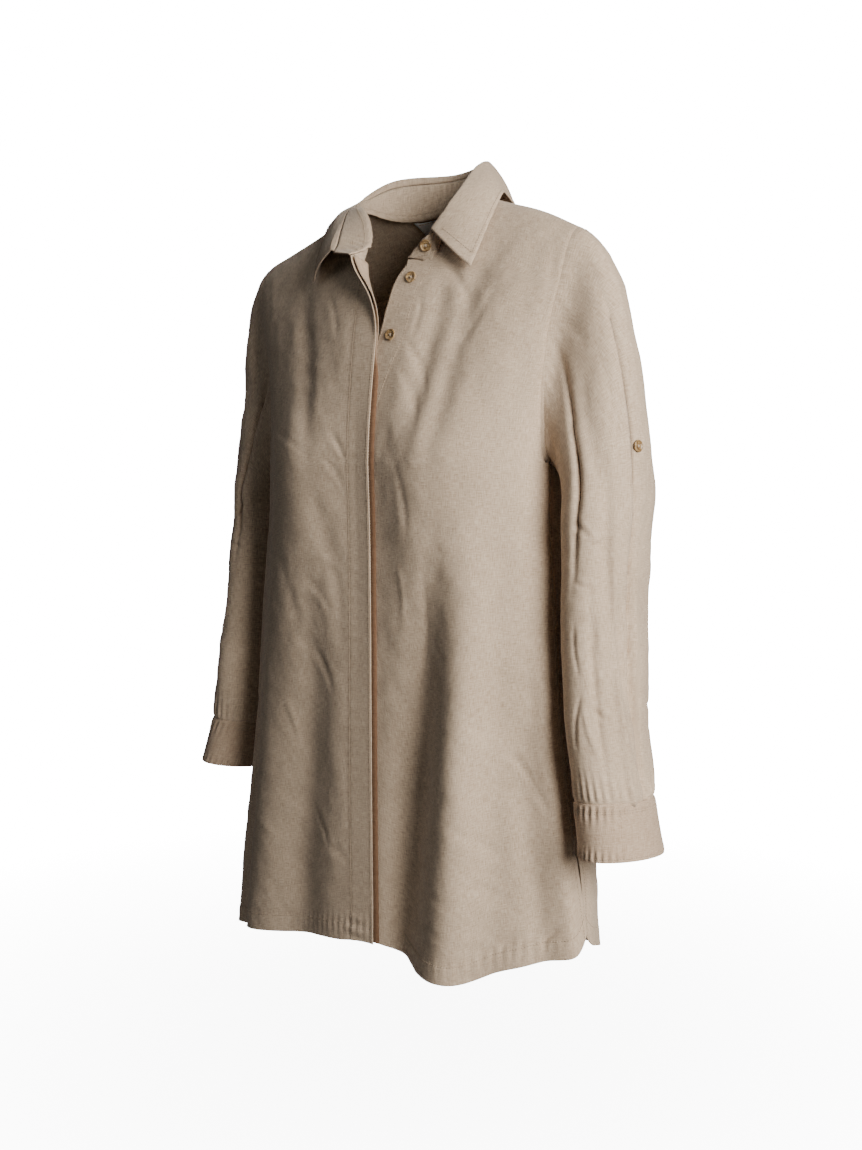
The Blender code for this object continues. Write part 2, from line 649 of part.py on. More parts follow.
def sleeve_ring(side, z, degrees):
    """A section of the hanging sleeve at this height, through the given degrees round it."""
    size = {name: float(column(SLEEVE, "z", name, z)) for name in ("x", "y", "out", "fore")}
    hang = hang_of(side)
    down = (SLEEVE[0]["z"] - z) / (SLEEVE[0]["z"] - SLEEVE[-1]["z"])
    size["x"] += hang["high"] + (hang["low"] - hang["high"]) * down
    angle = np.radians(degrees)
    dx = size["out"] * np.cos(angle)
    dy = -size["fore"] * np.sin(angle)
    push = fold_height(SLEEVE_FOLDS, degrees, np.full(len(angle), z))
    out = unit(np.stack([np.cos(angle), -np.sin(angle) * 0.8], -1))
    dx, dy = dx + out[:, 0] * push, dy + out[:, 1] * push
    dz = SLEEVE_LEAN_OUT * dx - SLEEVE_LEAN_FORE * dy + hang["lift"] * down
    return np.stack([side * (size["x"] + dx), size["y"] + dy, z + dz], -1)


def grid_normals(grid, around):
    """Normals of a grid of points, from its neighbours."""
    if around:
        across = np.roll(grid, -1, axis=1) - np.roll(grid, 1, axis=1)
    else:
        across = np.gradient(grid, axis=1)
    steps = unit(np.diff(grid, axis=0))
    up = np.concatenate([steps[:1], steps[:-1] + steps[1:], steps[-1:]])
    return unit(np.cross(across, up))


def sleeve_piece(side):
    """Outer points and normals of a sleeve, from the armhole down to the cuff seam."""
    degrees = np.arange(SLEEVE_ROUND) * 360.0 / SLEEVE_ROUND
    start, start_normals, away = armhole_loop(side)
    first_z = SLEEVE[0]["z"]
    end = sleeve_ring(side, first_z, degrees)
    below = sleeve_ring(side, first_z - 0.01, degrees)
    under = ease((1 - np.cos(np.radians(degrees))) / 2 * 1.6 - 0.6)[:, None]
    leave = unit(away * (1 - under) + np.array([side * 0.85, 0, -0.5]) * under)
    start = start + np.array([side * SEAM * 1.5, 0, 0]) * under
    reach = np.linalg.norm(end - start, axis=1, keepdims=True)
    length = reach * (0.52 - 0.12 * under)
    arrive = unit(below - end) * reach * 0.60
    rows = []
    for t in np.linspace(0, 1, SLEEVE_CAP_ROWS + 1)[:-1]:
        point = (1 + 2 * t) * (1 - t) ** 2 * start + t * (1 - t) ** 2 * length * leave
        point = point + t * t * (3 - 2 * t) * end + t * t * (t - 1) * arrive
        rows.append(point)
    for z in np.linspace(first_z, SLEEVE[-1]["z"], SLEEVE_ARM_ROWS):
        rows.append(sleeve_ring(side, z, degrees))
    grid = np.array(rows)[::-1]
    order = slice(None, None, -1) if side > 0 else slice(None)
    grid = grid[:, order]
    normals = grid_normals(grid, True)
    over = 1 - under[order]
    normals[-1] = unit(unit(normals[-1]) * (1.05 - over) + start_normals[order] * over)
    return grid, normals


def cuff_piece(side):
    """Outer points and normals of a cuff, a band that laps over itself at the opening."""
    hang = hang_of(side)
    z_top = SLEEVE[-1]["z"] + hang["lift"] - 2 * SEAM
    beta = np.linspace(0, 360 + CUFF_OVERLAP_DEGREES, CUFF_ROUND)
    degrees = CUFF_OPENING_DEGREES - beta
    lap = (CUFF_CLOTH + LAYER_GAP) * ease((beta - 250) / 90)
    rows = []
    for share in np.linspace(0, 1, 4):
        size = {name: SLEEVE[-1][name] for name in ("x", "y", "out", "fore")}
        wide = 1 + (CUFF_FLARE - 1) * share
        angle = np.radians(degrees)
        dx = (size["out"] * wide + lap) * np.cos(angle)
        dy = -(size["fore"] * wide + lap) * np.sin(angle)
        drop = CUFF_DEPTH * share
        z = z_top - drop + SLEEVE_LEAN_OUT * dx - SLEEVE_LEAN_FORE * dy
        x = size["x"] + hang["low"] + hang["slant"] * drop + dx
        y = size["y"] - SLEEVE_LEAN_FORE * drop + dy
        rows.append(np.stack([side * x, y, z], -1))
    grid = np.array(rows)[::-1]
    if side < 0:
        grid = grid[:, ::-1]
    normals = grid_normals(grid, False)
    return grid, normals


def neckline(left, right, yoke):
    """The sewn neckline from the right front's end round the back to the left front's end: points on
    the panels' outer faces, the panels' normals and each point's station."""
    parts = []
    for (outer, normals), side in ((right, -1), (left, 1)):
        last = -1 if side < 0 else 0
        rows = slice(neck_end_row(side), None)
        parts.append((outer[rows, last], normals[rows, last]))
    (right_p, right_n), (left_p, left_n) = parts
    outer, normals = yoke
    inside = slice(6, 19)
    runs = [right_p, outer[-1, inside][::-1], left_p[::-1]]
    faces = [right_n, normals[-1, inside][::-1], left_n[::-1]]
    points, facing, stations = [], [], []
    for k, (run_points, run_faces) in enumerate(zip(runs, faces)):
        step = np.linalg.norm(np.diff(run_points, axis=0), axis=1)
        run = np.concatenate([[0], np.cumsum(step)])
        keep = slice(1, None) if k == 2 else slice(None, -1) if k == 0 else slice(None)
        points.append(run_points[keep])
        facing.append(run_faces[keep])
        stations.append((k + run / run[-1])[keep])
    return [np.concatenate(parts) for parts in (points, facing, stations)]


def resample(at, run, values):
    return np.stack([np.interp(at, run, values[:, k]) for k in range(values.shape[1])], -1)


def smooth_rows(values, times):
    for _ in range(times):
        values[1:-1] = (values[:-2] + 2 * values[1:-1] + values[2:]) / 4
    return values


def collar_frame(neck, panels):
    """Stations along the neckline: the base points, the roll's and the edge's points above them."""
    points, facing, stations = neck
    wide = np.nonzero(np.diff(stations) > COLLAR_STEP)[0]
    at = np.sort(np.concatenate([stations, (stations[wide] + stations[wide + 1]) / 2]))
    base, facing = resample(at, stations, points), unit(resample(at, stations, facing))
    away = unit(np.cross(np.gradient(base, axis=0), facing))
    roll = np.stack([column(COLLAR, "at", "roll_" + axis, at) for axis in "xyz"], -1)
    edge = np.stack([column(COLLAR, "at", "edge_" + axis, at) for axis in "xyz"], -1)
    roll, edge = clear_of(panels, roll, ROLL_CLEAR), clear_of(panels, edge, COLLAR_CLEAR)
    rising = unit(roll - base)
    ahead = (rising * away).sum(1)
    aside = np.sqrt(np.clip(1 - ahead**2, 0, 1))
    over = (COLLAR_CLOTH + 2 * SEAM) * ease((-ahead + 0.2) / 0.7)
    base = base + away * (SEAM + COLLAR_CLOTH * aside)[:, None] + facing * over[:, None]
    return base, roll, edge


def stand_piece(frame, panels):
    """The collar's stand, up from the neckline and clear of the panels it leans out over."""
    base, roll, edge = frame
    grid = np.array([base + (roll - base) * h for h in np.linspace(0.012, STAND_SHARE, 4)])
    grid[1:] = clear_of(panels, grid[1:], 0.0016)
    return grid, grid_normals(grid, False)


def square_to(vectors, axis):
    """Unit vectors square to an axis."""
    return unit(vectors - axis * (vectors * axis).sum(1, keepdims=True))


def fall_piece(frame, panels, stand):
    """The collar's fall: up from the stand, over the roll and down to the edge, clear of the panels."""
    base, roll, edge = (part[1:-1] for part in frame)
    top = stand[0][-1, 1:-1]
    low = top + square_to(roll - top, unit(np.gradient(top, axis=0))) * 2 * SEAM
    axis = unit(np.gradient(roll, axis=0))
    rising = square_to(roll - base, axis)
    end = roll
    for _ in range(4):
        down = square_to(edge - end, axis)
        outward = square_to(down, rising)
        turn = np.arccos(np.clip((down * rising).sum(1, keepdims=True), -1, 1))
        end = roll + COLLAR_ROLL * (np.sin(turn) * rising + (1 - np.cos(turn)) * outward)
    rows = [low, roll]
    for share in (0.33, 0.67, 1.0):
        part_turn = turn * share
        rows.append(roll + COLLAR_ROLL * (np.sin(part_turn) * rising + (1 - np.cos(part_turn)) * outward))
    lift = unit(np.cross(np.gradient(end, axis=0), edge - end))
    for share in (0.33, 0.67, 1.0):
        rows.append(end + (edge - end) * share + lift * (0.003 * math.sin(math.pi * share)))
    grid = np.array(rows)
    grid[4:] = clear_of(panels, grid[4:], COLLAR_CLEAR)
    normals = grid_normals(grid, False)
    normals[0] = unit(stand[1][-1, 1:-1])
    return grid, normals


def clear_of(panels, points, clear):
    """Moves points out until each stands this far off the nearest panel's outer face."""
    surface = np.concatenate([outer.reshape(-1, 3) for outer, normals in panels])
    facing = np.concatenate([unit(normals).reshape(-1, 3) for outer, normals in panels])
    shape = points.shape
    points = points.reshape(-1, 3).copy()
    for _ in range(3):
        apart = np.linalg.norm(points[:, None] - surface[None], axis=2)
        near = apart.argmin(1)
        height = ((points - surface[near]) * facing[near]).sum(1)
        aside = np.sqrt(np.maximum(apart.min(1) ** 2 - height**2, 0))
        lack = np.where(aside < 0.006, np.maximum(clear - height, 0), 0)
        points += facing[near] * lack[:, None]
    return points.reshape(shape)


def denser(grid, times):
    """A grid with this many steps between its rows and between its columns."""
    rows, columns = grid.shape[:2]
    r = np.linspace(0, rows - 1, (rows - 1) * times + 1)
    c = np.linspace(0, columns - 1, (columns - 1) * times + 1)
    low = np.minimum(r.astype(int), rows - 2)
    grid = grid[low] + (grid[low + 1] - grid[low]) * (r - low)[:, None, None]
    low = np.minimum(c.astype(int), columns - 2)
    return grid[:, low] + (grid[:, low + 1] - grid[:, low]) * (c - low)[None, :, None]


def underlay_piece(right):
    """The buttonhole strip of the concealed closure, hung inside the right front's edge."""
    outer, normals = right
    rows = outer.shape[0]
    drop = CLOTH + FLY_BUTTON_ROOM
    inside = slice(-len(EDGE_COLUMNS), None)
    grid, faces = [], []
    for r in range(neck_end_row(-1) + 1):
        line, across = outer[r, inside].copy(), unit(normals[r, inside])
        line[-1] -= unit(line[-1] - line[-2]) * 0.0015
        near = drop * (1 - 0.1 * float(ease((line[-1, 2] - V_BOTTOM_Z + 0.02) / 0.05)))
        grid.append(line - across * near)
        faces.append(across)
    return np.array(grid), np.array(faces)


def neck_end_row(side):
    end_z = NECK_END_LEFT_Z if side > 0 else NECK_END_RIGHT_Z
    end_x = float(column(LEFT_EDGE, "z", "x", end_z)) if side > 0 else -OVERLAP
    level = level_at(end_x, end_z)
    return int(np.abs(front_levels(level) - level).argmin())


def button(name, centre, normal, radius=BUTTON_RADIUS):
    """A turned button with a raised rim, its back face on the cloth."""
    profile = ((0.90, 0.0), (1.0, 0.35), (0.94, 1.0), (0.72, 0.80))
    normal = unit(normal)
    side = unit(np.cross(normal, [0.0, 0.0, 1.0]))
    other = np.cross(normal, side)
    points, faces = [], []
    for wide, high in profile:
        for k in range(BUTTON_SIDES):
            angle = 2 * math.pi * k / BUTTON_SIDES
            ring = (side * math.cos(angle) + other * math.sin(angle)) * radius * wide
            points.append(centre + ring + normal * BUTTON_THICK * high)
    for row in range(len(profile) - 1):
        for k in range(BUTTON_SIDES):
            a, b = row * BUTTON_SIDES + k, row * BUTTON_SIDES + (k + 1) % BUTTON_SIDES
            faces.append((a, a + BUTTON_SIDES, b + BUTTON_SIDES, b))
    faces.append(tuple(range(BUTTON_SIDES)))
    faces.append(tuple(reversed(range((len(profile) - 1) * BUTTON_SIDES, len(profile) * BUTTON_SIDES))))
    made = mesh_object(name, points, faces)
    return made


def grid_point(grid, normals, row, place):
    """A point and normal between a grid's rows and columns."""
    r, c = min(int(row), len(grid) - 2), min(int(place), grid.shape[1] - 2)
    v, u = row - r, place - c
    weights = ((1 - v) * (1 - u), (1 - v) * u, v * (1 - u), v * u)
    spots = ((r, c), (r, c + 1), (r + 1, c), (r + 1, c + 1))
    point = sum(w * grid[spot] for w, spot in zip(weights, spots))
    return point, unit(sum(w * normals[spot] for w, spot in zip(weights, spots)))


def point_at_height(grid, normals, z, distance, edge):
    """A point and normal at this height, this far from a panel's first or last column."""
    if edge < 0:
        grid, normals = grid[:, ::-1], normals[:, ::-1]
    rows = np.interp(z, grid[:, 0, 2], np.arange(len(grid)))
    line, facing = [], []
    for place in range(grid.shape[1]):
        point, normal = grid_point(grid, normals, rows, min(place, grid.shape[1] - 1.000001))
        line.append(point)
        facing.append(normal)
    line = np.array(line)
    run = np.concatenate([[0], np.cumsum(np.linalg.norm(np.diff(line, axis=0), axis=1))])
    place = float(np.interp(distance, run, np.arange(len(run))))
    return grid_point(grid, normals, rows, place)


def tube_point(grid, normals, degrees, z, side):
    """A point and normal on a sleeve at this angle and height."""
    place = degrees / 360 * SLEEVE_ROUND
    place = SLEEVE_ROUND - 1 - place if side > 0 else place
    c = int(place)
    heights = grid[:, c, 2] + (grid[:, c + 1, 2] - grid[:, c, 2]) * (place - c)
    return grid_point(grid, normals, float(np.interp(z, heights, np.arange(len(grid)))), place)


def material(name, colour, roughness):
    made = bpy.data.materials.new(name)
    made.use_nodes = True
    shader = made.node_tree.nodes["Principled BSDF"]
    shader.inputs["Base Color"].default_value = (*colour, 1)
    shader.inputs["Roughness"].default_value = roughness
    return made


def label_piece():
    """The blank neck label, hung inside the back from the neckline seam."""
    rows = []
    for share in (1.0, 0.5, 0.0):
        half = LABEL_HALF_LOW + (LABEL_HALF_TOP - LABEL_HALF_LOW) * (1 - share)
        xs = np.linspace(half, -half, 9)
        levels = np.array([back_neck_level(x) for x in xs]) - LABEL_START - LABEL_TURN * share
        turns = np.array([math.pi - turn_at(x, level) for x, level in zip(xs, levels)])
        normals = surface_normals(body_surface, turns, levels)
        rows.append(body_surface(turns, levels) - normals * (CLOTH + 2 * SEAM + 0.0015 * share))
    grid = np.array(rows)
    return grid, grid_normals(grid, False)


def place_buttons(left, underlay, stand, sleeves, cuffs):
    """All the buttons, each on the cloth that carries it."""
    seats = []
    for k, z in enumerate(NECK_BUTTONS_Z):
        seats.append(("button_front_%d" % (k + 1), point_at_height(*left, z, NECK_BUTTON_INSET, 1)))
    for k, z in enumerate(FLY_BUTTONS_Z):
        seats.append(("button_fly_%d" % (k + 1), point_at_height(*underlay, z, PLACKET / 2 - 0.001, -1)))
    point, normal = grid_point(*stand, 1.4, stand[0].shape[1] - 1 - STAND_BUTTON_PLACE)
    seats.append(("button_stand", (point - normal * (COLLAR_CLOTH + 0.0008), -normal)))
    for side, word in ((1, "left"), (-1, "right")):
        spot = tube_point(*sleeves[side], TAB_BUTTON["degrees"], TAB_BUTTON["z"], side)
        seats.append(("button_tab_" + word, spot))
        lap = (CUFF_ROUND - 1) * (360 + CUFF_OVERLAP_DEGREES * 0.5) / (360 + CUFF_OVERLAP_DEGREES)
        place = lap if side > 0 else CUFF_ROUND - 1 - lap
        seats.append(("button_cuff_" + word, grid_point(*cuffs[side], 1.5, place)))
    return [button(name, point + normal * BUTTON_SEAT, normal) for name, (point, normal) in seats]


def build():
    for obj in list(bpy.data.objects):
        bpy.data.objects.remove(obj, do_unlink=True)

    linen = material("linen", (0.56, 0.47, 0.37), 0.9)
    horn = material("horn_button", (0.34, 0.24, 0.13), 0.35)
    tape = material("label_tape", (0.72, 0.72, 0.70), 0.8)

    left = front_piece(1)
    right = front_piece(-1)
    part_at_shoulder(*left, slice(None), -1)
    part_at_shoulder(*right, slice(None), -1)

    turns, levels = back_grid()
    back = cloth_surface(turns, levels), surface_normals(cloth_surface, turns, levels)
    turns, levels = yoke_grid()
    yoke = body_surface(turns, levels), surface_normals(body_surface, turns, levels)
    for ends in (slice(0, 7), slice(-7, None)):
        part_at_shoulder(*yoke, ends, 1)

    panels = [(denser(outer, 3), denser(normals, 3)) for outer, normals in (left, right, yoke)]
    frame = collar_frame(neckline(left, right, yoke), panels)
    stand = stand_piece(frame, panels)
    underlay = underlay_piece(right)
    sleeves = {side: sleeve_piece(side) for side in (1, -1)}
    cuffs = {side: cuff_piece(side) for side in (1, -1)}
    cloth = [
        wall_object("front_left", *left, CLOTH),
        wall_object("front_right", *right, CLOTH),
        wall_object("back", *back, CLOTH),
        wall_object("yoke", *yoke, CLOTH),
        wall_object("fly_underlay", *underlay, CLOTH),
        wall_object("collar_stand", *stand, COLLAR_CLOTH),
        wall_object("collar_fall", *fall_piece(frame, panels, stand), COLLAR_CLOTH),
    ]
    for side, word in ((1, "left"), (-1, "right")):
        cloth.append(wall_object("sleeve_" + word, *sleeves[side], CLOTH, around=True))
        cloth.append(wall_object("cuff_" + word, *cuffs[side], CUFF_CLOTH))
    for made in cloth:
        made.data.materials.append(linen)
    wall_object("neck_label", *label_piece(), LABEL_THICK).data.materials.append(tape)
    for made in place_buttons(left, underlay, stand, sleeves, cuffs):
        made.data.materials.append(horn)


build()
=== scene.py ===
"""The dressed look of the linen tunic shirt: fine cloth, creases, stitching, buttons, camera and light."""

import json
import math

import bmesh
import bpy
import numpy as np
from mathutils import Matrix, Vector, kdtree

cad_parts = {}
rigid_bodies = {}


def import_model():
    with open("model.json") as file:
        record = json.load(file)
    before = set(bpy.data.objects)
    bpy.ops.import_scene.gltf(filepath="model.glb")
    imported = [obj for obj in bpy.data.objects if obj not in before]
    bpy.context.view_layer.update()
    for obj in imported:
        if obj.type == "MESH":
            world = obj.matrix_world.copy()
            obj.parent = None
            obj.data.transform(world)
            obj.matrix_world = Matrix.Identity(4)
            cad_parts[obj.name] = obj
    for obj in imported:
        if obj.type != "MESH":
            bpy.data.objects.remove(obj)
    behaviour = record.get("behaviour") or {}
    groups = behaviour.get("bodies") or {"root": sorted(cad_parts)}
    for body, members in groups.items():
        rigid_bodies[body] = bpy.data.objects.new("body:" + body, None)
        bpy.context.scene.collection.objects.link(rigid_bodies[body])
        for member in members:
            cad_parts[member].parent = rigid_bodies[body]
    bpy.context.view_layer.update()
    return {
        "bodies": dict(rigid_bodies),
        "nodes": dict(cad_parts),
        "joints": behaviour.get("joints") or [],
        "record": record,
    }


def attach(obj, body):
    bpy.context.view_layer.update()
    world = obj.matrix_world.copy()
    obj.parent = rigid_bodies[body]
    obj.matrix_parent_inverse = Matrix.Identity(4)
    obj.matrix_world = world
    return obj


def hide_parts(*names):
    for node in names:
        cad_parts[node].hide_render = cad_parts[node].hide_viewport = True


def records(columns, rows):
    """A table's rows, each with its values under the columns' names."""
    return tuple(dict(zip(columns.split(), row)) for row in rows)


# Wall thicknesses and clearances
CLOTH = 0.0012
COLLAR_CLOTH = 0.0016
SEAM = 0.0004
LAYER_GAP = 0.0004

# Driving sizes of the shirt
NECK_HALF = 0.066
SHOULDER_HALF = 0.195
ARMPIT_Z = -0.263
SLIT_TOP_Z = -0.630
SLIT_GAP = 0.0035
HEM_CORNER = 0.026
YOKE_DROP = 0.057
BACK_NECK_Z = 0.001
PLACKET = 0.029
OVERLAP = 0.018

# Roundness of the body's sections (2 is an ellipse) and how the chest and back fall away to the shoulder
BOX = 2.4
CHEST_FALL = 2.2
BACK_FALL = 5.0
SHOULDER_REACH = 0.226
ARC_PER_DEGREE = 0.0024

# Height of the shoulder line across the body, the wearer's left positive
RIDGE = records("x z", (
    (-0.260, -0.0710),
    (-0.195, -0.0465),
    (-0.140, -0.0285),
    (-0.095, -0.0125),
    (-0.066, -0.0015),
    (0.000, 0.0240),
    (0.066, 0.0010),
    (0.115, -0.0145),
    (0.155, -0.0275),
    (0.195, -0.0465),
    (0.260, -0.0710),
))

# Level sections of the body: half width, depth in front of and behind the side seam, the side seam's y
BODY = records("z half front back side", (
    (-0.780, 0.231, 0.064, 0.102, -0.018),
    (-0.700, 0.221, 0.065, 0.099, -0.018),
    (-0.553, 0.197, 0.064, 0.094, -0.020),
    (-0.403, 0.182, 0.066, 0.095, -0.017),
    (-0.320, 0.173, 0.071, 0.101, -0.012),
    (-0.263, 0.170, 0.077, 0.107, -0.008),
))

# Height of the hem by degrees round from centre front
HEM = records("degrees z", (
    (-180, -0.752),
    (-125, -0.764),
    (-88, -0.776),
    (-60, -0.770),
    (-22, -0.751),
    (-5, -0.740),
    (3, -0.735),
    (10, -0.749),
    (18, -0.749),
    (28, -0.748),
    (40, -0.735),
    (66, -0.721),
    (90, -0.716),
    (125, -0.735),
    (180, -0.752),
))
HEM_Z = -0.728

# Half width of the body at the armhole seam, by share of the way from armpit to shoulder
ARMHOLE = records("share x", (
    (0.00, 0.1700),
    (0.03, 0.1693),
    (0.11, 0.1698),
    (0.17, 0.1710),
    (0.34, 0.178),
    (0.56, 0.190),
    (0.80, 0.1945),
    (1.00, 0.195),
))

# Front edge of the wearer's left front, which is pulled open above the fourth button
LEFT_EDGE = records("z x", (
    (-0.780, -0.018),
    (-0.310, -0.018),
    (-0.220, -0.010),
    (-0.170, 0.006),
    (-0.140, 0.0175),
    (-0.110, 0.0235),
    (-0.084, 0.0300),
    (-0.068, 0.0390),
))
NECK_END_LEFT_Z = -0.068
NECK_END_RIGHT_Z = -0.075
V_BOTTOM_Z = -0.150

# Front neckline: distance from the middle by share of the rise from the front's end to the shoulder seam
NECKLINE = records("share left right", (
    (0.00, 0.039, -0.018),
    (0.06, 0.057, -0.008),
    (0.16, 0.069, 0.001),
    (0.35, 0.072, 0.013),
    (0.60, 0.071, 0.029),
    (0.85, 0.068, 0.050),
    (1.00, 0.066, 0.066),
))

# The right front rolls open like a lapel above the closed part: where the roll starts, and how far it turns
ROLL = records("z x turn", (
    (-0.150, -0.018, 0.0),
    (-0.112, -0.004, 50.0),
    (-0.082, 0.010, 86.0),
    (-0.068, 0.013, 86.0),
    (-0.054, 0.012, 60.0),
    (-0.044, 0.013, 20.0),
    (-0.030, 0.024, 0.0),
    (0.030, 0.060, 0.0),
))
ROLL_RADIUS = 0.009

# Bust fullness let in by the darts
BUST = dict(x=0.088, z=-0.258, wide=0.052, above=0.062, below=0.200, out=0.017)

# Folds of the body: where they start and end (degrees round from centre front, wearer's left positive),
# the heights of their ends, their half width and how far they stand out (in where negative)
BODY_FOLDS = records("top top_z low low_z width out", (
    (31, -0.25, -7, -1.05, 0.017, -0.018),  # left front trough
    (46, -0.24, 8, -1.05, 0.024, 0.026),  # left front ridge
    (60, -0.42, 61, -1.00, 0.022, -0.008),  # left hip trough
    (76, -0.34, 76, -1.00, 0.016, 0.003),  # left side ridge
    (24, -0.03, 17, -0.27, 0.011, -0.006),  # left neck drag
    (36, 0.00, 26, -0.30, 0.012, -0.005),  # left collar drag
    (-14, -0.26, -21, -1.00, 0.018, -0.009),  # right front trough
    (-36, -0.26, -40, -1.05, 0.030, 0.008),  # right front ridge
    (-62, -0.38, -58, -1.00, 0.022, -0.008),  # right hip trough
    (-30, -0.02, -14, -0.30, 0.012, -0.004),  # right neck drag
    (128, -0.16, 124, -1.05, 0.028, 0.010),  # back left ridge
    (146, -0.20, 148, -1.05, 0.022, -0.011),  # back left trough
    (178, -0.24, 174, -1.05, 0.030, 0.010),  # back middle ridge
    (207, -0.20, 205, -1.05, 0.022, -0.010),  # back right trough
    (234, -0.16, 238, -1.05, 0.028, 0.010),  # back right ridge
))

# Level sections of the hanging left sleeve: centre, half thickness and half depth
SLEEVE = records("z x y out fore", (
    (-0.300, 0.2155, 0.020, 0.034, 0.060),
    (-0.360, 0.2185, 0.012, 0.033, 0.058),
    (-0.450, 0.2245, 0.003, 0.032, 0.057),
    (-0.530, 0.2345, -0.003, 0.031, 0.054),
    (-0.570, 0.2405, -0.006, 0.032, 0.048),
))

# How each sleeve hangs: lift of its lower end, shift outwards above and below, the cuff's outward slant
HANG = records("side lift high low slant", (
    (1, 0.0, 0.0, 0.0, 0.20),
    (-1, 0.022, -0.008, -0.006, 0.26),
))
SLEEVE_LEAN_OUT = 0.090
SLEEVE_LEAN_FORE = 0.080
CUFF_DEPTH = 0.050
CUFF_FLARE = 1.05
CUFF_CLOTH = 0.0018
CUFF_OVERLAP_DEGREES = 34
CUFF_OPENING_DEGREES = 262

# Folds along the sleeve, in degrees round it (0 is the outer side, 90 the front)
SLEEVE_FOLDS = records("top top_z low low_z width out", (
    (24, -0.20, -9, -0.66, 0.009, -0.0080),  # pleat trough
    (46, -0.20, 12, -0.70, 0.012, 0.0035),  # pleat ridge
    (58, -0.04, 92, -0.40, 0.013, -0.0075),  # armhole trough
    (66, -0.36, 52, -0.56, 0.012, -0.0035),  # elbow trough
    (-44, -0.10, -58, -0.62, 0.016, -0.0060),  # back trough
    (215, -0.24, 220, -0.66, 0.016, -0.0050),  # inner trough
))

# The collar by station along the neckline: 0 is the right front end, 1 and 2 the shoulder seams, 3 the
# left front end. The stand rises from the neckline towards the roll, and the fall drops from it to its edge
COLLAR = records("at roll_x roll_y roll_z edge_x edge_y edge_z", (
    (0.00, -0.038, -0.083, -0.056, -0.078, -0.066, -0.083),
    (0.35, -0.044, -0.071, -0.041, -0.080, -0.058, -0.062),
    (0.60, -0.056, -0.049, -0.023, -0.084, -0.047, -0.042),
    (0.85, -0.071, -0.018, -0.001, -0.095, -0.020, -0.014),
    (1.00, -0.079, 0.008, 0.011, -0.101, 0.003, -0.006),
    (1.22, -0.062, 0.041, 0.034, -0.090, 0.054, -0.012),
    (1.50, 0.000, 0.067, 0.037, 0.000, 0.097, -0.016),
    (1.78, 0.057, 0.043, 0.037, 0.082, 0.062, -0.011),
    (2.00, 0.073, 0.006, 0.027, 0.104, 0.014, -0.003),
    (2.25, 0.084, -0.034, -0.001, 0.116, -0.012, -0.010),
    (2.50, 0.081, -0.050, -0.0195, 0.120, -0.037, -0.038),
    (2.75, 0.0745, -0.0555, -0.0355, 0.117, -0.052, -0.066),
    (3.00, 0.064, -0.062, -0.048, 0.110, -0.061, -0.091),
))
STAND_SHARE = 0.84

# The stand's buttonhole: its row and place on the stand's grid, and its half length and half width
HOLE_ROW = 5.5
HOLE_PLACE = 14.0
HOLE_HALF = 0.0062
HOLE_WIDE = 0.0011

# How tightly the fall turns over the roll, and how far roll and edge stay off the cloth below them
COLLAR_ROLL = 0.0032
COLLAR_CLEAR = 0.0040
ROLL_CLEAR = 0.0080

BUTTON_RADIUS = 0.0057
BUTTON_THICK = 0.0018
BUTTON_SEAT = 0.0005
TAB_BUTTON = dict(degrees=12, z=-0.248)

LABEL_HALF_TOP = 0.043
LABEL_HALF_LOW = 0.036
LABEL_START = 0.03
LABEL_TURN = 0.13

# How far each layer's outer face stands off the body at the closed front
FLY_UNDER = LAYER_GAP + CLOTH
FLY_BUTTON_ROOM = BUTTON_SEAT + BUTTON_THICK + LAYER_GAP
FLY_OUTER = FLY_UNDER + FLY_BUTTON_ROOM + CLOTH

# Grid sizes: rows as the solids have them and how many finer ones stand for each
BODY_LOW_ROWS = 12
YOKE_ROWS = 5
ARMPIT_LEVELS = (0.0, 0.045)
CHEST_SHARES = (0.20, 0.38, 0.54, 0.66, 0.76, 0.84, 0.92)
FINE = 9
FRONT_FINE = 116
BACK_FINE = 156
SLEEVE_FINE = 136
SLEEVE_ARC = 0.00080  # metres of sleeve for each degree round it
OUTER_FULLNESS = 0.0075  # how far the sleeve's upper outside is filled out
EDGE_STEPS = np.array([0, 0.6, 1.3, 2.2, 3.5, 5, 7.5, 10, 12.5, 15, 17.5, 20, 22.5, 25, 26.6, 27.5, 28.3,
                       28.9, 29.5, 30.3, 31.4, 33]) / 1000
SIDE_STEPS = np.array([0, 0.6, 1.3, 2.2, 3.4, 4.6, 5.6, 6.4, 7.6, 9.4]) / 1000
CUFF_ROWS = (0.006, 0.02, 0.035, 0.11, 0.125, 0.14, 0.155, 0.17, 0.93, 0.965, 0.98, 0.994)
HEM_ROWS = np.arange(0, 0.0262, 0.00115)

# Cloth thicknesses, bands, and how far in from an edge or seam each line of stitching runs
SHEET = 0.0010
COLLAR_SHEET = 0.0014
CUFF_SHEET = 0.0016
LABEL_SHEET = 0.0006
HEM_BAND = 0.019
VENT_BAND = 0.006
HEM_STITCH = HEM_BAND - 0.0014
VENT_STITCH = VENT_BAND - 0.001
PLACKET_STITCH = PLACKET - 0.001
EDGE_STITCH = 0.0018
COLLAR_STITCH = 0.0045
CUFF_STITCHES = (0.0062, 0.0085)

# Brightness of the white surroundings as the camera sees them, and the floor
WHITE = 22.0
FLOOR_Z = -0.86
FLOOR_REACH = 16

QUARTER = math.pi / 2
TINY = 1e-4


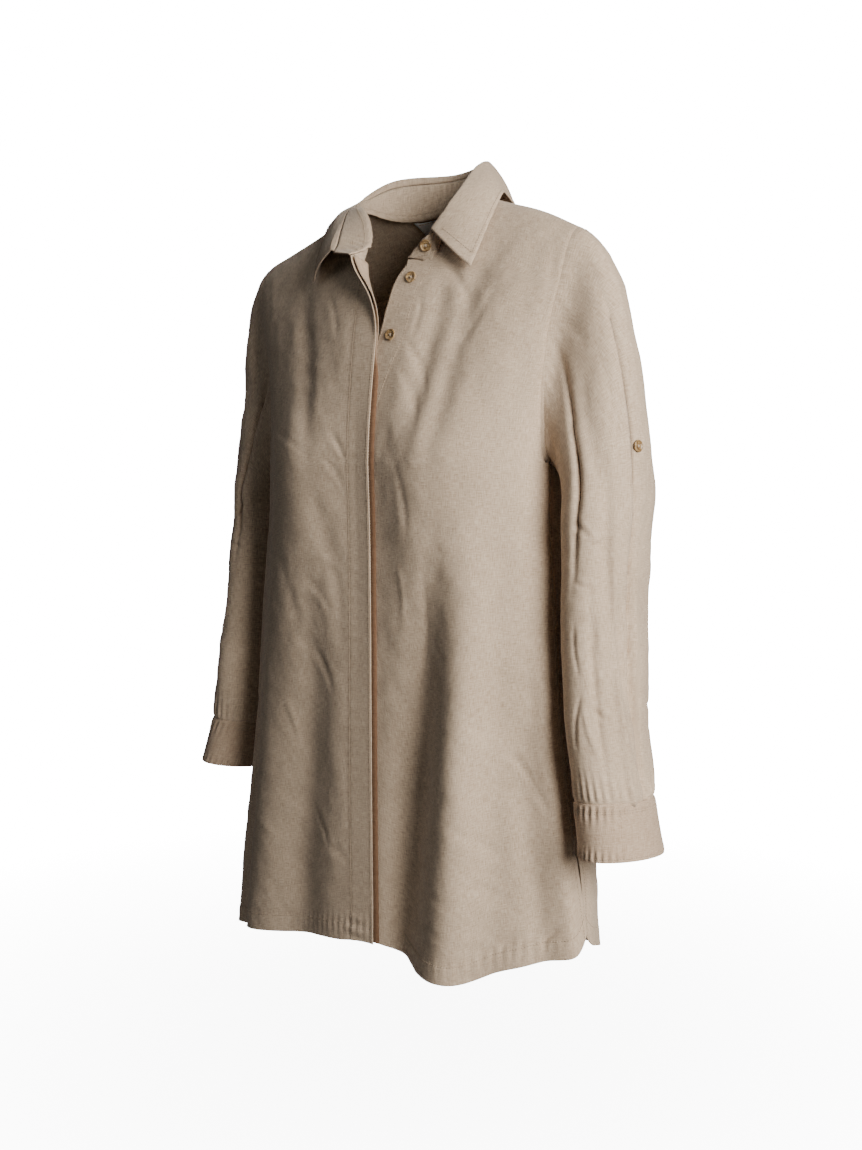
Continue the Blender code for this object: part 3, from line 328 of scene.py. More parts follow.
def column(table, key, name, at):
    """A table's column as a smooth curve: cubic pieces whose slopes come from the neighbouring rows."""
    rows = sorted(table, key=lambda row: row[key])
    x = np.array([row[key] for row in rows], float)
    y = np.array([row[name] for row in rows], float)
    slope = np.gradient(y, x)
    steps = np.diff(y) / np.diff(x)
    slope[0], slope[-1] = steps[0], steps[-1]
    at = np.clip(np.asarray(at, float), x[0], x[-1])
    i = np.clip(np.searchsorted(x, at) - 1, 0, len(x) - 2)
    gap = x[i + 1] - x[i]
    t = (at - x[i]) / gap
    a = (1 + 2 * t) * (1 - t) ** 2 * y[i] + t * (1 - t) ** 2 * gap * slope[i]
    b = t * t * (3 - 2 * t) * y[i + 1] + t * t * (t - 1) * gap * slope[i + 1]
    return a + b


def ease(t):
    t = np.clip(t, 0, 1)
    return t * t * (3 - 2 * t)


def unit(vectors):
    vectors = np.asarray(vectors, float)
    return vectors / np.maximum(np.linalg.norm(vectors, axis=-1, keepdims=True), 1e-12)


def signed_power(value, power):
    return np.sign(value) * np.abs(value) ** power


def ridge_height(x):
    """Height of the shoulder line at this distance across the body."""
    return column(RIDGE, "x", "z", x)


def fold_height(folds, degrees, z):
    """How far the folds push the cloth out at this place, in metres."""
    total = np.zeros(np.broadcast(degrees, z).shape)
    for fold in folds:
        t = (fold["top_z"] - z) / (fold["top_z"] - fold["low_z"])
        middle = fold["top"] + (fold["low"] - fold["top"]) * np.clip(t, 0, 1)
        away = (degrees - middle + 180) % 360 - 180
        reach = np.exp(-((away * ARC_PER_DEGREE / fold["width"]) ** 2))
        total = total + fold["out"] * reach * ease(t / 0.45) * ease((1 - t) / 0.3)
    return total


def body_half(rise):
    """Half width of the body's section, which widens to the shoulder above the armpit."""
    return BODY[-1]["half"] + (SHOULDER_REACH - BODY[-1]["half"]) * rise**2


def body_surface(turn, level):
    """Points of the body. turn goes round from centre front; level is metres below the armpit where
    negative, and above it the angle (0 to a quarter turn) of the rise to the shoulder line."""
    turn, level = np.broadcast_arrays(np.asarray(turn, float), np.asarray(level, float))
    rise = np.sin(np.clip(level, 0, QUARTER))
    z_low = ARMPIT_Z + np.minimum(level, 0)
    half = np.where(level < 0, column(BODY, "z", "half", z_low), body_half(rise))
    front = column(BODY, "z", "front", z_low) * np.sqrt(1 - rise**CHEST_FALL)
    back = column(BODY, "z", "back", z_low) * np.sqrt(1 - rise**BACK_FALL)
    side = column(BODY, "z", "side", z_low) * (1 - rise)
    across = signed_power(np.sin(turn), 2 / BOX)
    along = signed_power(np.cos(turn), 2 / BOX)
    x = half * across
    depth = np.where(np.cos(turn) > 0, front, back)
    y = side - depth * along
    z = np.where(level < 0, z_low, ARMPIT_Z + (ridge_height(x) - ARMPIT_Z) * rise)
    return np.stack([x, y, z], -1)


def cloth_surface(turn, level):
    """The body with its bust fullness and folds."""
    points = body_surface(turn, level)
    turn, level = np.broadcast_arrays(np.asarray(turn, float), np.asarray(level, float))
    x, z = points[..., 0], points[..., 2]
    front = np.cos(turn) > 0
    dz = z - BUST["z"]
    spread = np.where(dz > 0, BUST["above"], BUST["below"])
    bust = BUST["out"] * np.exp(-(((np.abs(x) - BUST["x"]) / BUST["wide"]) ** 2) - (dz / spread) ** 2)
    fade = np.sqrt(np.clip(np.cos(np.clip(level, 0, QUARTER)), 0, 1))
    push = fold_height(BODY_FOLDS, np.degrees(turn), z) * fade
    push = push * np.where(front, ease((np.abs(x) - 0.019) / 0.028), 1)
    out = unit(np.stack([np.sin(turn), -np.cos(turn) * 1.6, np.zeros_like(z)], -1))
    points = points + out * push[..., None]
    points[..., 1] -= np.where(front, bust, 0) * np.abs(np.cos(turn)) ** 0.5
    return points


def surface_normals(surface, turn, level):
    """Outward normals of a surface given by turn and level."""
    above = np.minimum(level + TINY, QUARTER)
    across = surface(turn + TINY, level) - surface(turn - TINY, level)
    up = surface(turn, above) - surface(turn, level - TINY)
    return unit(np.cross(across, up))


def turn_at(x, level):
    """The turn at which the body's section at this level is x from the middle, on the front."""
    half = column(BODY, "z", "half", ARMPIT_Z + min(level, 0))
    half = half if level < 0 else body_half(math.sin(level))
    share = min(abs(x) / float(half), 1.0)
    return math.copysign(math.asin(share ** (BOX / 2)), x)


def level_at(x, z):
    """The level at which the body is this high, above a point this far from the middle."""
    if z < ARMPIT_Z:
        return z - ARMPIT_Z
    return math.asin(min(1.0, (z - ARMPIT_Z) / (float(ridge_height(x)) - ARMPIT_Z)))


def edge_turn(level, depth):
    """The turn of a panel's edge: half the clearance off the side seam or the vent up to the armpit,
    and at the armhole above it."""
    if level > 0:
        return turn_at(armhole_x(level) - SEAM / 2, level)
    clear = SEAM + (SLIT_GAP - SEAM) * ease((SLIT_TOP_Z - ARMPIT_Z - level) / 0.004 + 0.5)
    deep = float(column(BODY, "z", depth, ARMPIT_Z + level))
    return math.acos((clear / 2 / deep) ** (BOX / 2))


def low_levels(share, turns):
    """Levels below the armpit at a share of the way up from the hem, for each turn."""
    degrees = (np.degrees(turns) + 180) % 360 - 180
    return (column(HEM, "degrees", "z", degrees) - ARMPIT_Z) * (1 - share)


def hem_rise(away):
    """How far the hem's rounded corner rises at this distance from the side edge."""
    inside = np.clip(HEM_CORNER - away, 0, HEM_CORNER)
    return HEM_CORNER - np.sqrt(HEM_CORNER**2 - inside**2)


def neckline_x(level, end_level, side):
    """Distance of the front neckline from the middle, from its front end up to the shoulder seam."""
    share = (math.sin(level) - math.sin(end_level)) / (1 - math.sin(end_level))
    return float(column(NECKLINE, "share", "left" if side > 0 else "right", max(share, 0)))


def armhole_x(level):
    return float(column(ARMHOLE, "share", "x", level / QUARTER))


def front_offset(points, side):
    """How far a front stands off the body: the wearer's right front passes over the left at the closure."""
    if side > 0:
        return np.zeros(points.shape[:2])
    near_shoulder = ease((points[..., 2] + 0.060) / 0.045)
    return FLY_OUTER * (1 - ease((-points[..., 0] - 0.03) / 0.10)) * (1 - near_shoulder)


def roll_open(outer, normals):
    """Turns the upper part of the right front's edge out round the roll line, as a lapel."""
    outer, normals = outer.copy(), normals.copy()
    for r in range(outer.shape[0]):
        row, across = outer[r].copy(), normals[r].copy()
        z = row[-1, 2]
        if z < V_BOTTOM_Z:
            continue
        line_x = -float(column(ROLL, "z", "x", z))
        turn = math.radians(float(column(ROLL, "z", "turn", z)))
        past = np.nonzero(row[:, 0] > line_x)[0]
        if not len(past) or past[0] == 0 or turn < 0.01:
            continue
        k = past[0]
        share = (line_x - row[k - 1, 0]) / (row[k, 0] - row[k - 1, 0])
        start = row[k - 1] + (row[k] - row[k - 1]) * share
        ahead = unit(row[k] - row[k - 1])
        face = unit(across[k - 1] + (across[k] - across[k - 1]) * share)
        face = unit(face - ahead * (face @ ahead))
        run = np.linalg.norm(row[k] - start)
        for c in range(k, len(row)):
            if c > k:
                run += np.linalg.norm(row[c] - row[c - 1])
            angle = min(run / ROLL_RADIUS, turn)
            rest = run - ROLL_RADIUS * angle
            bent = ROLL_RADIUS * (math.sin(angle) * ahead + (1 - math.cos(angle)) * face)
            straight = rest * (math.cos(angle) * ahead + math.sin(angle) * face)
            outer[r, c] = start + bent + straight
            normals[r, c] = math.cos(angle) * face - math.sin(angle) * ahead
    return outer, normals


def shoulder_normal(points):
    """Normals along a shoulder seam, the same for the front and the yoke that meet there."""
    slope = (ridge_height(points[:, 0] + 0.004) - ridge_height(points[:, 0] - 0.004)) / 0.008
    return unit(np.stack([-slope, np.zeros(len(points)), np.ones(len(points))], -1))


def part_at_shoulder(outer, normals, columns, way):
    """Squares a panel's top row to the shoulder seam and draws it back by half the seam's clearance."""
    normals[-1, columns] = shoulder_normal(outer[-1, columns])
    outer[-1, columns, 1] += way * SEAM


def hang_of(side):
    return next(row for row in HANG if row["side"] == side)


def sleeve_ring(side, z, degrees):
    """A section of the hanging sleeve at this height, through the given degrees round it."""
    size = {name: float(column(SLEEVE, "z", name, z)) for name in ("x", "y", "out", "fore")}
    hang = hang_of(side)
    down = (SLEEVE[0]["z"] - z) / (SLEEVE[0]["z"] - SLEEVE[-1]["z"])
    size["x"] += hang["high"] + (hang["low"] - hang["high"]) * down
    angle = np.radians(degrees)
    dx = size["out"] * np.cos(angle)
    dy = -size["fore"] * np.sin(angle)
    push = fold_height(SLEEVE_FOLDS, degrees, np.full(len(angle), z))
    out = unit(np.stack([np.cos(angle), -np.sin(angle) * 0.8], -1))
    dx, dy = dx + out[:, 0] * push, dy + out[:, 1] * push
    dz = SLEEVE_LEAN_OUT * dx - SLEEVE_LEAN_FORE * dy + hang["lift"] * down
    return np.stack([side * (size["x"] + dx), size["y"] + dy, z + dz], -1)


def grid_normals(grid, around):
    """Normals of a grid of points, from its neighbours."""
    if around:
        across = np.roll(grid, -1, axis=1) - np.roll(grid, 1, axis=1)
    else:
        across = np.gradient(grid, axis=1)
    steps = unit(np.diff(grid, axis=0))
    up = np.concatenate([steps[:1], steps[:-1] + steps[1:], steps[-1:]])
    return unit(np.cross(across, up))


def resample(at, run, values):
    return np.stack([np.interp(at, run, values[:, k]) for k in range(values.shape[1])], -1)


def square_to(vectors, axis):
    """Unit vectors square to an axis."""
    return unit(vectors - axis * (vectors * axis).sum(1, keepdims=True))


def grid_point(grid, normals, row, place):
    """A point and normal between a grid's rows and columns."""
    r, c = min(int(row), len(grid) - 2), min(int(place), grid.shape[1] - 2)
    v, u = row - r, place - c
    weights = ((1 - v) * (1 - u), (1 - v) * u, v * (1 - u), v * u)
    spots = ((r, c), (r, c + 1), (r + 1, c), (r + 1, c + 1))
    point = sum(w * grid[spot] for w, spot in zip(weights, spots))
    return point, unit(sum(w * normals[spot] for w, spot in zip(weights, spots)))


def back_high_levels():
    """Levels of the back's rows from the armpit to the yoke seam."""
    return np.concatenate([ARMPIT_LEVELS, np.linspace(0, level_at(0.0, -YOKE_DROP), 6)[1:]])


def back_neck_level(x):
    """Level of the back neckline, which dips from the shoulder seams to the middle."""
    middle = level_at(0.0, BACK_NECK_Z)
    share = min(abs(x) / NECK_HALF, 1.0)
    return middle + (QUARTER - middle) * (1 - math.sqrt(1 - share**2.2))


def split(values, times):
    """The same rising values with this many steps in place of each one."""
    at = np.linspace(0, len(values) - 1, (len(values) - 1) * times + 1)
    return np.interp(at, np.arange(len(values)), values)


def run_of(points):
    """Distance along a line of points."""
    return np.concatenate([[0], np.cumsum(np.linalg.norm(np.diff(points, axis=0), axis=1))])


def spread_turns(first, last, level, at_of):
    """Turns between two, at given distances along the cloth, and those distances."""
    turns = np.linspace(first, last, 240)
    run = run_of(body_surface(turns, level))
    at = at_of(run[-1])
    return np.interp(at, run, turns), run[-1], at


def front_steps(run):
    """Distances across a front: close together beside the front edge, the placket seam and the side."""
    low, high = EDGE_STEPS[-1] + 0.002, run - SIDE_STEPS[-1] - 0.002
    middle = np.linspace(low, high, FRONT_FINE - len(EDGE_STEPS) - len(SIDE_STEPS))
    return np.concatenate([EDGE_STEPS, middle, run - SIDE_STEPS[::-1]])


def back_steps(run):
    low = SIDE_STEPS[-1] + 0.002
    middle = np.linspace(low, run - low, BACK_FINE - 2 * len(SIDE_STEPS))
    return np.concatenate([SIDE_STEPS, middle, run - SIDE_STEPS[::-1]])


def fine_levels(levels):
    """The rows' levels, closer together in the hem band."""
    levels = np.sort(np.concatenate([split(levels, FINE), HEM_Z - ARMPIT_Z + HEM_ROWS[1:]]))
    keep = [levels[0]]
    for level in levels[1:]:
        if level - keep[-1] > 2e-4:
            keep.append(level)
    return np.array(keep)


def front_levels(neck_end):
    """Levels of a front's rows, from hem to shoulder seam, with more rows where the neckline turns."""
    low = np.linspace(HEM_Z - ARMPIT_Z, 0, BODY_LOW_ROWS, endpoint=False)
    chest = np.concatenate([ARMPIT_LEVELS, neck_end * np.array(CHEST_SHARES)])
    neck = neck_end + (QUARTER - neck_end) * np.array([0, 0.06, 0.14, 0.28, 0.50, 0.75, 1])
    return np.concatenate([low, chest, neck])


def front_end(side):
    """Height, distance from the middle and level of the point where a front's edge meets the neckline."""
    z = NECK_END_LEFT_Z if side > 0 else NECK_END_RIGHT_Z
    x = float(column(LEFT_EDGE, "z", "x", z)) if side > 0 else -OVERLAP
    return z, x, level_at(x, z)


def row_levels(level, turns, away):
    if level >= 0:
        return np.full(len(turns), level)
    share = 1 - level / (HEM_Z - ARMPIT_Z)
    return low_levels(share, turns) + hem_rise(away) * (1 - ease(share / 0.25))


def front_grid(side):
    """Turns and levels of a front's grid, and each point's distance from its front and side edges."""
    end_level = front_end(side)[2]
    turns, levels, front_away, side_away = [], [], [], []
    for level in fine_levels(front_levels(end_level)):
        if level < end_level - TINY:
            z = ARMPIT_Z + level if level < 0 else ARMPIT_Z + (0.02 - ARMPIT_Z) * math.sin(level)
            x_in = float(column(LEFT_EDGE, "z", "x", z)) if side > 0 else -OVERLAP
        else:
            x_in = neckline_x(level, end_level, side)
        last = edge_turn(level, "front")
        row, run, at = spread_turns(turn_at(x_in, level), last, level, front_steps)
        turns.append(row * side)
        levels.append(row_levels(level, row * side, run - at))
        front_away.append(at)
        side_away.append(run - at)
    grids = [np.array(part) for part in (turns, levels, front_away, side_away)]
    return grids if side > 0 else [grid[:, ::-1] for grid in grids]


def back_grid():
    """Turns and levels of the back, and each point's distance from the nearer side edge."""
    low = np.linspace(HEM_Z - ARMPIT_Z, 0, BODY_LOW_ROWS, endpoint=False)
    turns, levels, sides = [], [], []
    for level in fine_levels(np.concatenate([low, back_high_levels()])):
        first = math.pi - edge_turn(level, "back")
        row, run, at = spread_turns(first, 2 * math.pi - first, level, back_steps)
        away = np.minimum(at, run - at)
        turns.append(row)
        levels.append(row_levels(level, row, away))
        sides.append(away)
    return np.array(turns), np.array(levels), np.array(sides)


def yoke_grid(times=1):
    """Turns and levels of the yoke, from the yoke seam up to the shoulder seams and the back neckline."""
    low_level = level_at(0.0, -YOKE_DROP) + 2 * SEAM / 0.2
    reach = armhole_x(low_level) - SEAM / 2
    neck = np.linspace(NECK_HALF, -NECK_HALF, 12 * times + 1)
    left = np.linspace(SHOULDER_HALF - SEAM / 2, NECK_HALF, 6 * times + 1)[:-1]
    top_x = np.concatenate([left, neck, -left[::-1]])
    low_x = top_x / (SHOULDER_HALF - SEAM / 2) * reach
    turns, levels = [], []
    for share in np.linspace(0, 1, (YOKE_ROWS - 1) * times + 1):
        row_turns, row_levels_ = [], []
        for low, high in zip(low_x, top_x):
            top_level = back_neck_level(high) if abs(high) <= NECK_HALF else QUARTER
            level = low_level + (top_level - low_level) * share
            x = low + (high - low) * share
            if abs(high) > SHOULDER_HALF - SEAM:
                x = math.copysign(armhole_x(level) - SEAM / 2, high)
            row_turns.append(math.pi - turn_at(x, level))
            row_levels_.append(level)
        turns.append(row_turns)
        levels.append(row_levels_)
    return np.array(turns), np.array(levels)


def front_cloth(side, turns, levels):
    """Points and normals of a front, its roll open and its shoulder seam squared."""
    outer = cloth_surface(turns, levels)
    normals = surface_normals(cloth_surface, turns, levels)
    outer = outer + normals * front_offset(outer, side)[..., None]
    if side < 0:
        outer, normals = roll_open(outer, normals)
    part_at_shoulder(outer, normals, slice(None), -1)
    return outer, normals


def yoke_cloth(times=1):
    turns, levels = yoke_grid(times)
    outer, normals = body_surface(turns, levels), surface_normals(body_surface, turns, levels)
    for ends in (slice(0, 6 * times + 1), slice(-6 * times - 1, None)):
        part_at_shoulder(outer, normals, ends, 1)
    return outer, normals


def neck_row(side):
    level = front_end(side)[2]
    return int(np.abs(fine_levels(front_levels(level)) - level).argmin())


def armhole_loop(side, count, times):
    """Points, outward normals and edge directions round an armhole, from the shoulder seam down the
    front to the armpit and up the back."""
    halves = []
    front_rows = front_levels(front_end(side)[2])
    yoke_rows = np.linspace(level_at(0.0, -YOKE_DROP), QUARTER, YOKE_ROWS)[1:]
    back_rows = np.concatenate([back_high_levels(), yoke_rows])
    for face, rows in ((1, front_rows[front_rows >= 0]), (-1, back_rows)):
        levels = split(rows[::-1], times)
        xs = np.array([armhole_x(level) + SEAM for level in levels])
        turns = np.array([turn_at(x, level) for x, level in zip(xs, levels)])
        turns = turns if face > 0 else math.pi - turns
        points = body_surface(turns, levels)
        normals = surface_normals(body_surface, turns, levels)
        normals[0] = shoulder_normal(points[:1])
        run = run_of(points)
        at = run[-1] * (1 - np.linspace(1, 0, count // 2 + 1) ** 1.2)
        halves.append([resample(at, run, part) for part in (points, normals)])
    (front, front_n), (back, back_n) = halves
    points = np.concatenate([front, back[-2:0:-1]])
    normals = unit(np.concatenate([front_n, back_n[-2:0:-1]]))
    along = np.roll(points, -1, axis=0) - np.roll(points, 1, axis=0)
    away = unit(np.cross(normals, along))
    away *= np.where(away[:, :1] < 0, -1, 1)
    if side < 0:
        flip = np.array([-1, 1, 1])
        points, normals, away = points * flip, normals * flip, away * flip
    return points, normals, away


def sleeve_cloth(side, count, cap_rows, arm_rows):
    """Points and normals of a sleeve, from the cuff seam up to the armhole, and the degrees round it."""
    degrees = np.arange(count) * 360.0 / count
    start, start_normals, away = armhole_loop(side, count, 6)
    first_z = SLEEVE[0]["z"]
    end = sleeve_ring(side, first_z, degrees)
    below = sleeve_ring(side, first_z - 0.01, degrees)
    under = ease((1 - np.cos(np.radians(degrees))) / 2 * 1.6 - 0.6)[:, None]
    leave = unit(away * (1 - under) + np.array([side * 0.85, 0, -0.5]) * under)
    start = start + np.array([side * SEAM * 1.5, 0, 0]) * under
    reach = np.linalg.norm(end - start, axis=1, keepdims=True)
    length = reach * (0.52 - 0.12 * under)
    arrive = unit(below - end) * reach * 0.60
    rows = []
    for t in np.linspace(0, 1, cap_rows + 1)[:-1]:
        point = (1 + 2 * t) * (1 - t) ** 2 * start + t * (1 - t) ** 2 * length * leave
        point = point + t * t * (3 - 2 * t) * end + t * t * (t - 1) * arrive
        rows.append(point)
    for z in np.linspace(first_z, SLEEVE[-1]["z"], arm_rows):
        rows.append(sleeve_ring(side, z, degrees))
    order = slice(None, None, -1) if side > 0 else slice(None)
    grid = np.array(rows)[::-1][:, order]
    normals = grid_normals(grid, True)
    over = 1 - under[order]
    normals[-1] = unit(unit(normals[-1]) * (1.05 - over) + start_normals[order] * over)
    return grid, normals, degrees[order], start_normals[order], away[order]


def cuff_cloth(side, count, shares):
    """Points and normals of a cuff, a band that laps over itself at the opening."""
    hang = hang_of(side)
    z_top = SLEEVE[-1]["z"] + hang["lift"] - 2 * SEAM
    beta = np.linspace(0, 360 + CUFF_OVERLAP_DEGREES, count)
    degrees = CUFF_OPENING_DEGREES - beta
    lap = (CUFF_CLOTH + LAYER_GAP) * ease((beta - 250) / 90)
    size, angle = SLEEVE[-1], np.radians(degrees)
    rows = []
    for share in shares:
        wide = 1 + (CUFF_FLARE - 1) * share
        dx = (size["out"] * wide + lap) * np.cos(angle)
        dy = -(size["fore"] * wide + lap) * np.sin(angle)
        drop = CUFF_DEPTH * share
        z = z_top - drop + SLEEVE_LEAN_OUT * dx - SLEEVE_LEAN_FORE * dy
        x = size["x"] + hang["low"] + hang["slant"] * drop + dx
        y = size["y"] - SLEEVE_LEAN_FORE * drop + dy
        rows.append(np.stack([side * x, y, z], -1))
    grid = np.array(rows)[::-1]
    if side < 0:
        grid = grid[:, ::-1]
    return grid, grid_normals(grid, False)


def neckline(left, right, yoke, times):
    """The sewn neckline from the right front's end round the back to the left front's end."""
    ends = [(grid[neck_row(side):, last], normals[neck_row(side):, last])
            for (grid, normals), side, last in ((right, -1, -1), (left, 1, 0))]
    inside = slice(6 * times, 18 * times + 1)
    runs = [ends[0][0], yoke[0][-1, inside][::-1], ends[1][0][::-1]]
    faces = [ends[0][1], yoke[1][-1, inside][::-1], ends[1][1][::-1]]
    points, facing, stations = [], [], []
    for k, (line, line_faces) in enumerate(zip(runs, faces)):
        run = run_of(line)
        keep = slice(1, None) if k == 2 else slice(None, -1) if k == 0 else slice(None)
        points.append(line[keep])
        facing.append(line_faces[keep])
        stations.append((k + run / run[-1])[keep])
    return [np.concatenate(parts) for parts in (points, facing, stations)]


def clear_of(near, points, clear):
    """Moves points out until each stands this far off the nearest panel's outer face."""
    tree, surface, facing = near
    shape = points.shape
    points = points.reshape(-1, 3).copy()
    for _ in range(3):
        for i, point in enumerate(points):
            _, k, apart = tree.find(point)
            height = float((point - surface[k]) @ facing[k])
            if math.sqrt(max(apart**2 - height**2, 0)) < 0.006 and height < clear:
                points[i] += facing[k] * (clear - height)
    return points.reshape(shape)


def search_tree(panels):
    surface = np.concatenate([grid.reshape(-1, 3) for grid, normals in panels])
    facing = np.concatenate([unit(normals).reshape(-1, 3) for grid, normals in panels])
    tree = kdtree.KDTree(len(surface))
    for k, point in enumerate(surface):
        tree.insert(point, k)
    tree.balance()
    return tree, surface, facing


def collar_frame(neck, near):
    """Stations along the neckline: the base points, the roll's and the edge's points above them."""
    points, facing, at = neck
    count = len(at) // 2 * 2
    spread = np.linspace(0, len(at) - 1, count)
    order = np.arange(len(at))
    points, facing = resample(spread, order, points), unit(resample(spread, order, facing))
    at = np.interp(spread, order, at)
    away = unit(np.cross(smooth_rows(np.gradient(points, axis=0), 6), facing))
    roll = np.stack([column(COLLAR, "at", "roll_" + axis, at) for axis in "xyz"], -1)
    edge = np.stack([column(COLLAR, "at", "edge_" + axis, at) for axis in "xyz"], -1)
    roll, edge = clear_of(near, roll, ROLL_CLEAR), clear_of(near, edge, COLLAR_CLEAR)
    roll, edge = smooth_rows(roll, 12), smooth_rows(edge, 12)
    rising = unit(roll - points)
    ahead = (rising * away).sum(1)
    aside = np.sqrt(np.clip(1 - ahead**2, 0, 1))
    over = (COLLAR_CLOTH + 2 * SEAM) * ease((-ahead + 0.2) / 0.7)
    base = points + away * (SEAM + COLLAR_CLOTH * aside)[:, None] + facing * over[:, None]
    return base, roll, edge, at


def smooth_rows(values, times):
    for _ in range(times):
        values[1:-1] = (values[:-2] + 2 * values[1:-1] + values[2:]) / 4
    return values


def stand_cloth(frame, near):
    base, roll = frame[:2]
    grid = np.array([base + (roll - base) * h for h in np.linspace(0.012, STAND_SHARE, 12)])
    grid[3:] = clear_of(near, grid[3:], 0.0016)
    return grid, grid_normals(grid, False)


def fall_cloth(frame, near, stand):
    """The collar's fall: up from the stand, over the roll and down to the edge."""
    base, roll, edge = (part[3:-3] for part in frame[:3])
    top = stand[0][-1, 3:-3]
    low = top + square_to(roll - top, unit(np.gradient(top, axis=0))) * 2 * SEAM
    axis = unit(smooth_rows(np.gradient(roll, axis=0), 8))
    rising = square_to(roll - base, axis)
    end = roll

    def rolled(turn):
        return roll + COLLAR_ROLL * (np.sin(turn) * rising + (1 - np.cos(turn)) * outward)

    for _ in range(4):
        down = square_to(edge - end, axis)
        outward = square_to(down, rising)
        turn = np.arccos(np.clip((down * rising).sum(1, keepdims=True), -1, 1))
        end = rolled(turn)
    rows = [low, (low + roll) / 2, roll] + [rolled(turn * share) for share in np.linspace(0, 1, 8)[1:]]
    lift = unit(np.cross(np.gradient(end, axis=0), edge - end))
    for share in np.linspace(0, 1, 19)[1:]:
        rows.append(end + (edge - end) * share + lift * (0.003 * math.sin(math.pi * share)))
    grid = np.array(rows)
    grid[12:] = clear_of(near, grid[12:], COLLAR_CLEAR)
    for _ in range(3):
        grid[1:-1, 1:-1] = (grid[1:-1, 1:-1] * 2 + grid[:-2, 1:-1] + grid[2:, 1:-1]) / 4
    normals = grid_normals(grid, False)
    normals[0] = unit(stand[1][-1, 3:-3])
    return grid, normals


# Creases: how far each bows aside, the share of its length in which it starts and ends, the half width
# over which it isn't narrowed, and how much of its stated depth it has
CREASE_BOW = 0.07
CREASE_FADE = 0.35
BROAD_CREASE = 0.0075
NARROWED = 0.62
CREASE_DEPTH = 0.6
PANEL_CREASES = 1.3

# Creases placed on the fronts: both ends by x and height, half width, and how far out (in where
# negative)
FRONT_CREASES = records("x1 z1 x2 z2 wide out", (
    (-0.150, -0.404, -0.012, -0.411, 0.0022, -0.0006),
    (-0.072, -0.610, -0.039, -0.649, 0.0045, -0.0022),
    (-0.046, -0.645, -0.007, -0.661, 0.0040, -0.0018),
    (-0.185, -0.636, -0.116, -0.653, 0.0040, 0.0018),
    (-0.180, -0.629, -0.112, -0.611, 0.0035, 0.0012),
    (-0.034, -0.230, -0.010, -0.264, 0.0040, -0.0017),
    (-0.040, -0.255, -0.011, -0.291, 0.0040, -0.0014),
    (-0.056, -0.350, -0.014, -0.374, 0.0045, 0.0013),
    (-0.073, -0.372, -0.031, -0.412, 0.0050, -0.0013),
    (-0.066, -0.440, -0.030, -0.495, 0.0060, -0.0018),
    (-0.067, -0.262, -0.020, -0.470, 0.0100, -0.0016),
    (-0.126, -0.228, -0.055, -0.257, 0.0040, -0.0010),
    (-0.170, -0.362, -0.050, -0.378, 0.0030, -0.0008),
    (-0.171, -0.728, -0.040, -0.681, 0.0045, 0.0012),
    (-0.108, -0.498, -0.084, -0.550, 0.0040, 0.0013),
    (-0.150, -0.556, -0.100, -0.562, 0.0035, -0.0010),
    (-0.098, -0.718, -0.018, -0.678, 0.0040, -0.0012),
    (-0.123, -0.330, -0.078, -0.445, 0.0080, -0.0012),
    (0.080, -0.425, 0.109, -0.458, 0.0040, -0.0014),
    (0.156, -0.526, 0.182, -0.566, 0.0042, -0.0022),
    (0.178, -0.560, 0.194, -0.588, 0.0036, -0.0026),
    (0.062, -0.640, 0.100, -0.658, 0.0040, -0.0018),
    (0.104, -0.592, 0.163, -0.634, 0.0045, -0.0014),
    (0.060, -0.668, 0.134, -0.678, 0.0045, -0.0014),
    (0.050, -0.700, 0.128, -0.711, 0.0040, -0.0015),
    (0.118, -0.706, 0.158, -0.712, 0.0040, 0.0016),
    (0.154, -0.717, 0.180, -0.697, 0.0036, -0.0018),
    (0.188, -0.710, 0.214, -0.688, 0.0036, -0.0024),
    (0.190, -0.684, 0.222, -0.660, 0.0040, 0.0018),
    (0.180, -0.525, 0.190, -0.566, 0.0040, 0.0014),
    (0.172, -0.430, 0.181, -0.540, 0.0060, 0.0016),
    (0.126, -0.497, 0.149, -0.519, 0.0040, -0.0010),
    (0.132, -0.642, 0.177, -0.674, 0.0045, 0.0014),
    (0.153, -0.672, 0.209, -0.652, 0.0040, -0.0014),
    (0.072, -0.068, 0.112, -0.118, 0.0070, -0.0014),
    (0.118, -0.070, 0.080, -0.146, 0.0100, -0.0016),
    (0.140, -0.080, 0.097, -0.160, 0.0070, -0.0010),
    (0.060, -0.098, 0.052, -0.150, 0.0050, -0.0012),
    (0.038, -0.132, 0.080, -0.210, 0.0050, -0.0014),
    (0.036, -0.160, 0.074, -0.238, 0.0050, -0.0012),
    (0.158, -0.054, 0.159, -0.142, 0.0090, -0.0008),
    (0.182, -0.060, 0.174, -0.142, 0.0060, -0.0010),
    (0.160, -0.142, 0.146, -0.232, 0.0080, -0.0014),
    (0.046, -0.254, 0.063, -0.340, 0.0060, -0.0012),
    (0.047, -0.350, 0.055, -0.420, 0.0050, 0.0010),
    (0.078, -0.350, 0.058, -0.500, 0.0060, -0.0012),
    (0.163, -0.2415, 0.1705, -0.2655, 0.0012, -0.0012),
    (-0.163, -0.2415, -0.1705, -0.2655, 0.0012, -0.0012),
    (-0.110, -0.080, -0.070, -0.190, 0.0120, -0.0006),
    (-0.150, -0.075, -0.120, -0.210, 0.0120, -0.0006),
    (-0.060, -0.085, -0.030, -0.150, 0.0060, -0.0008),
))
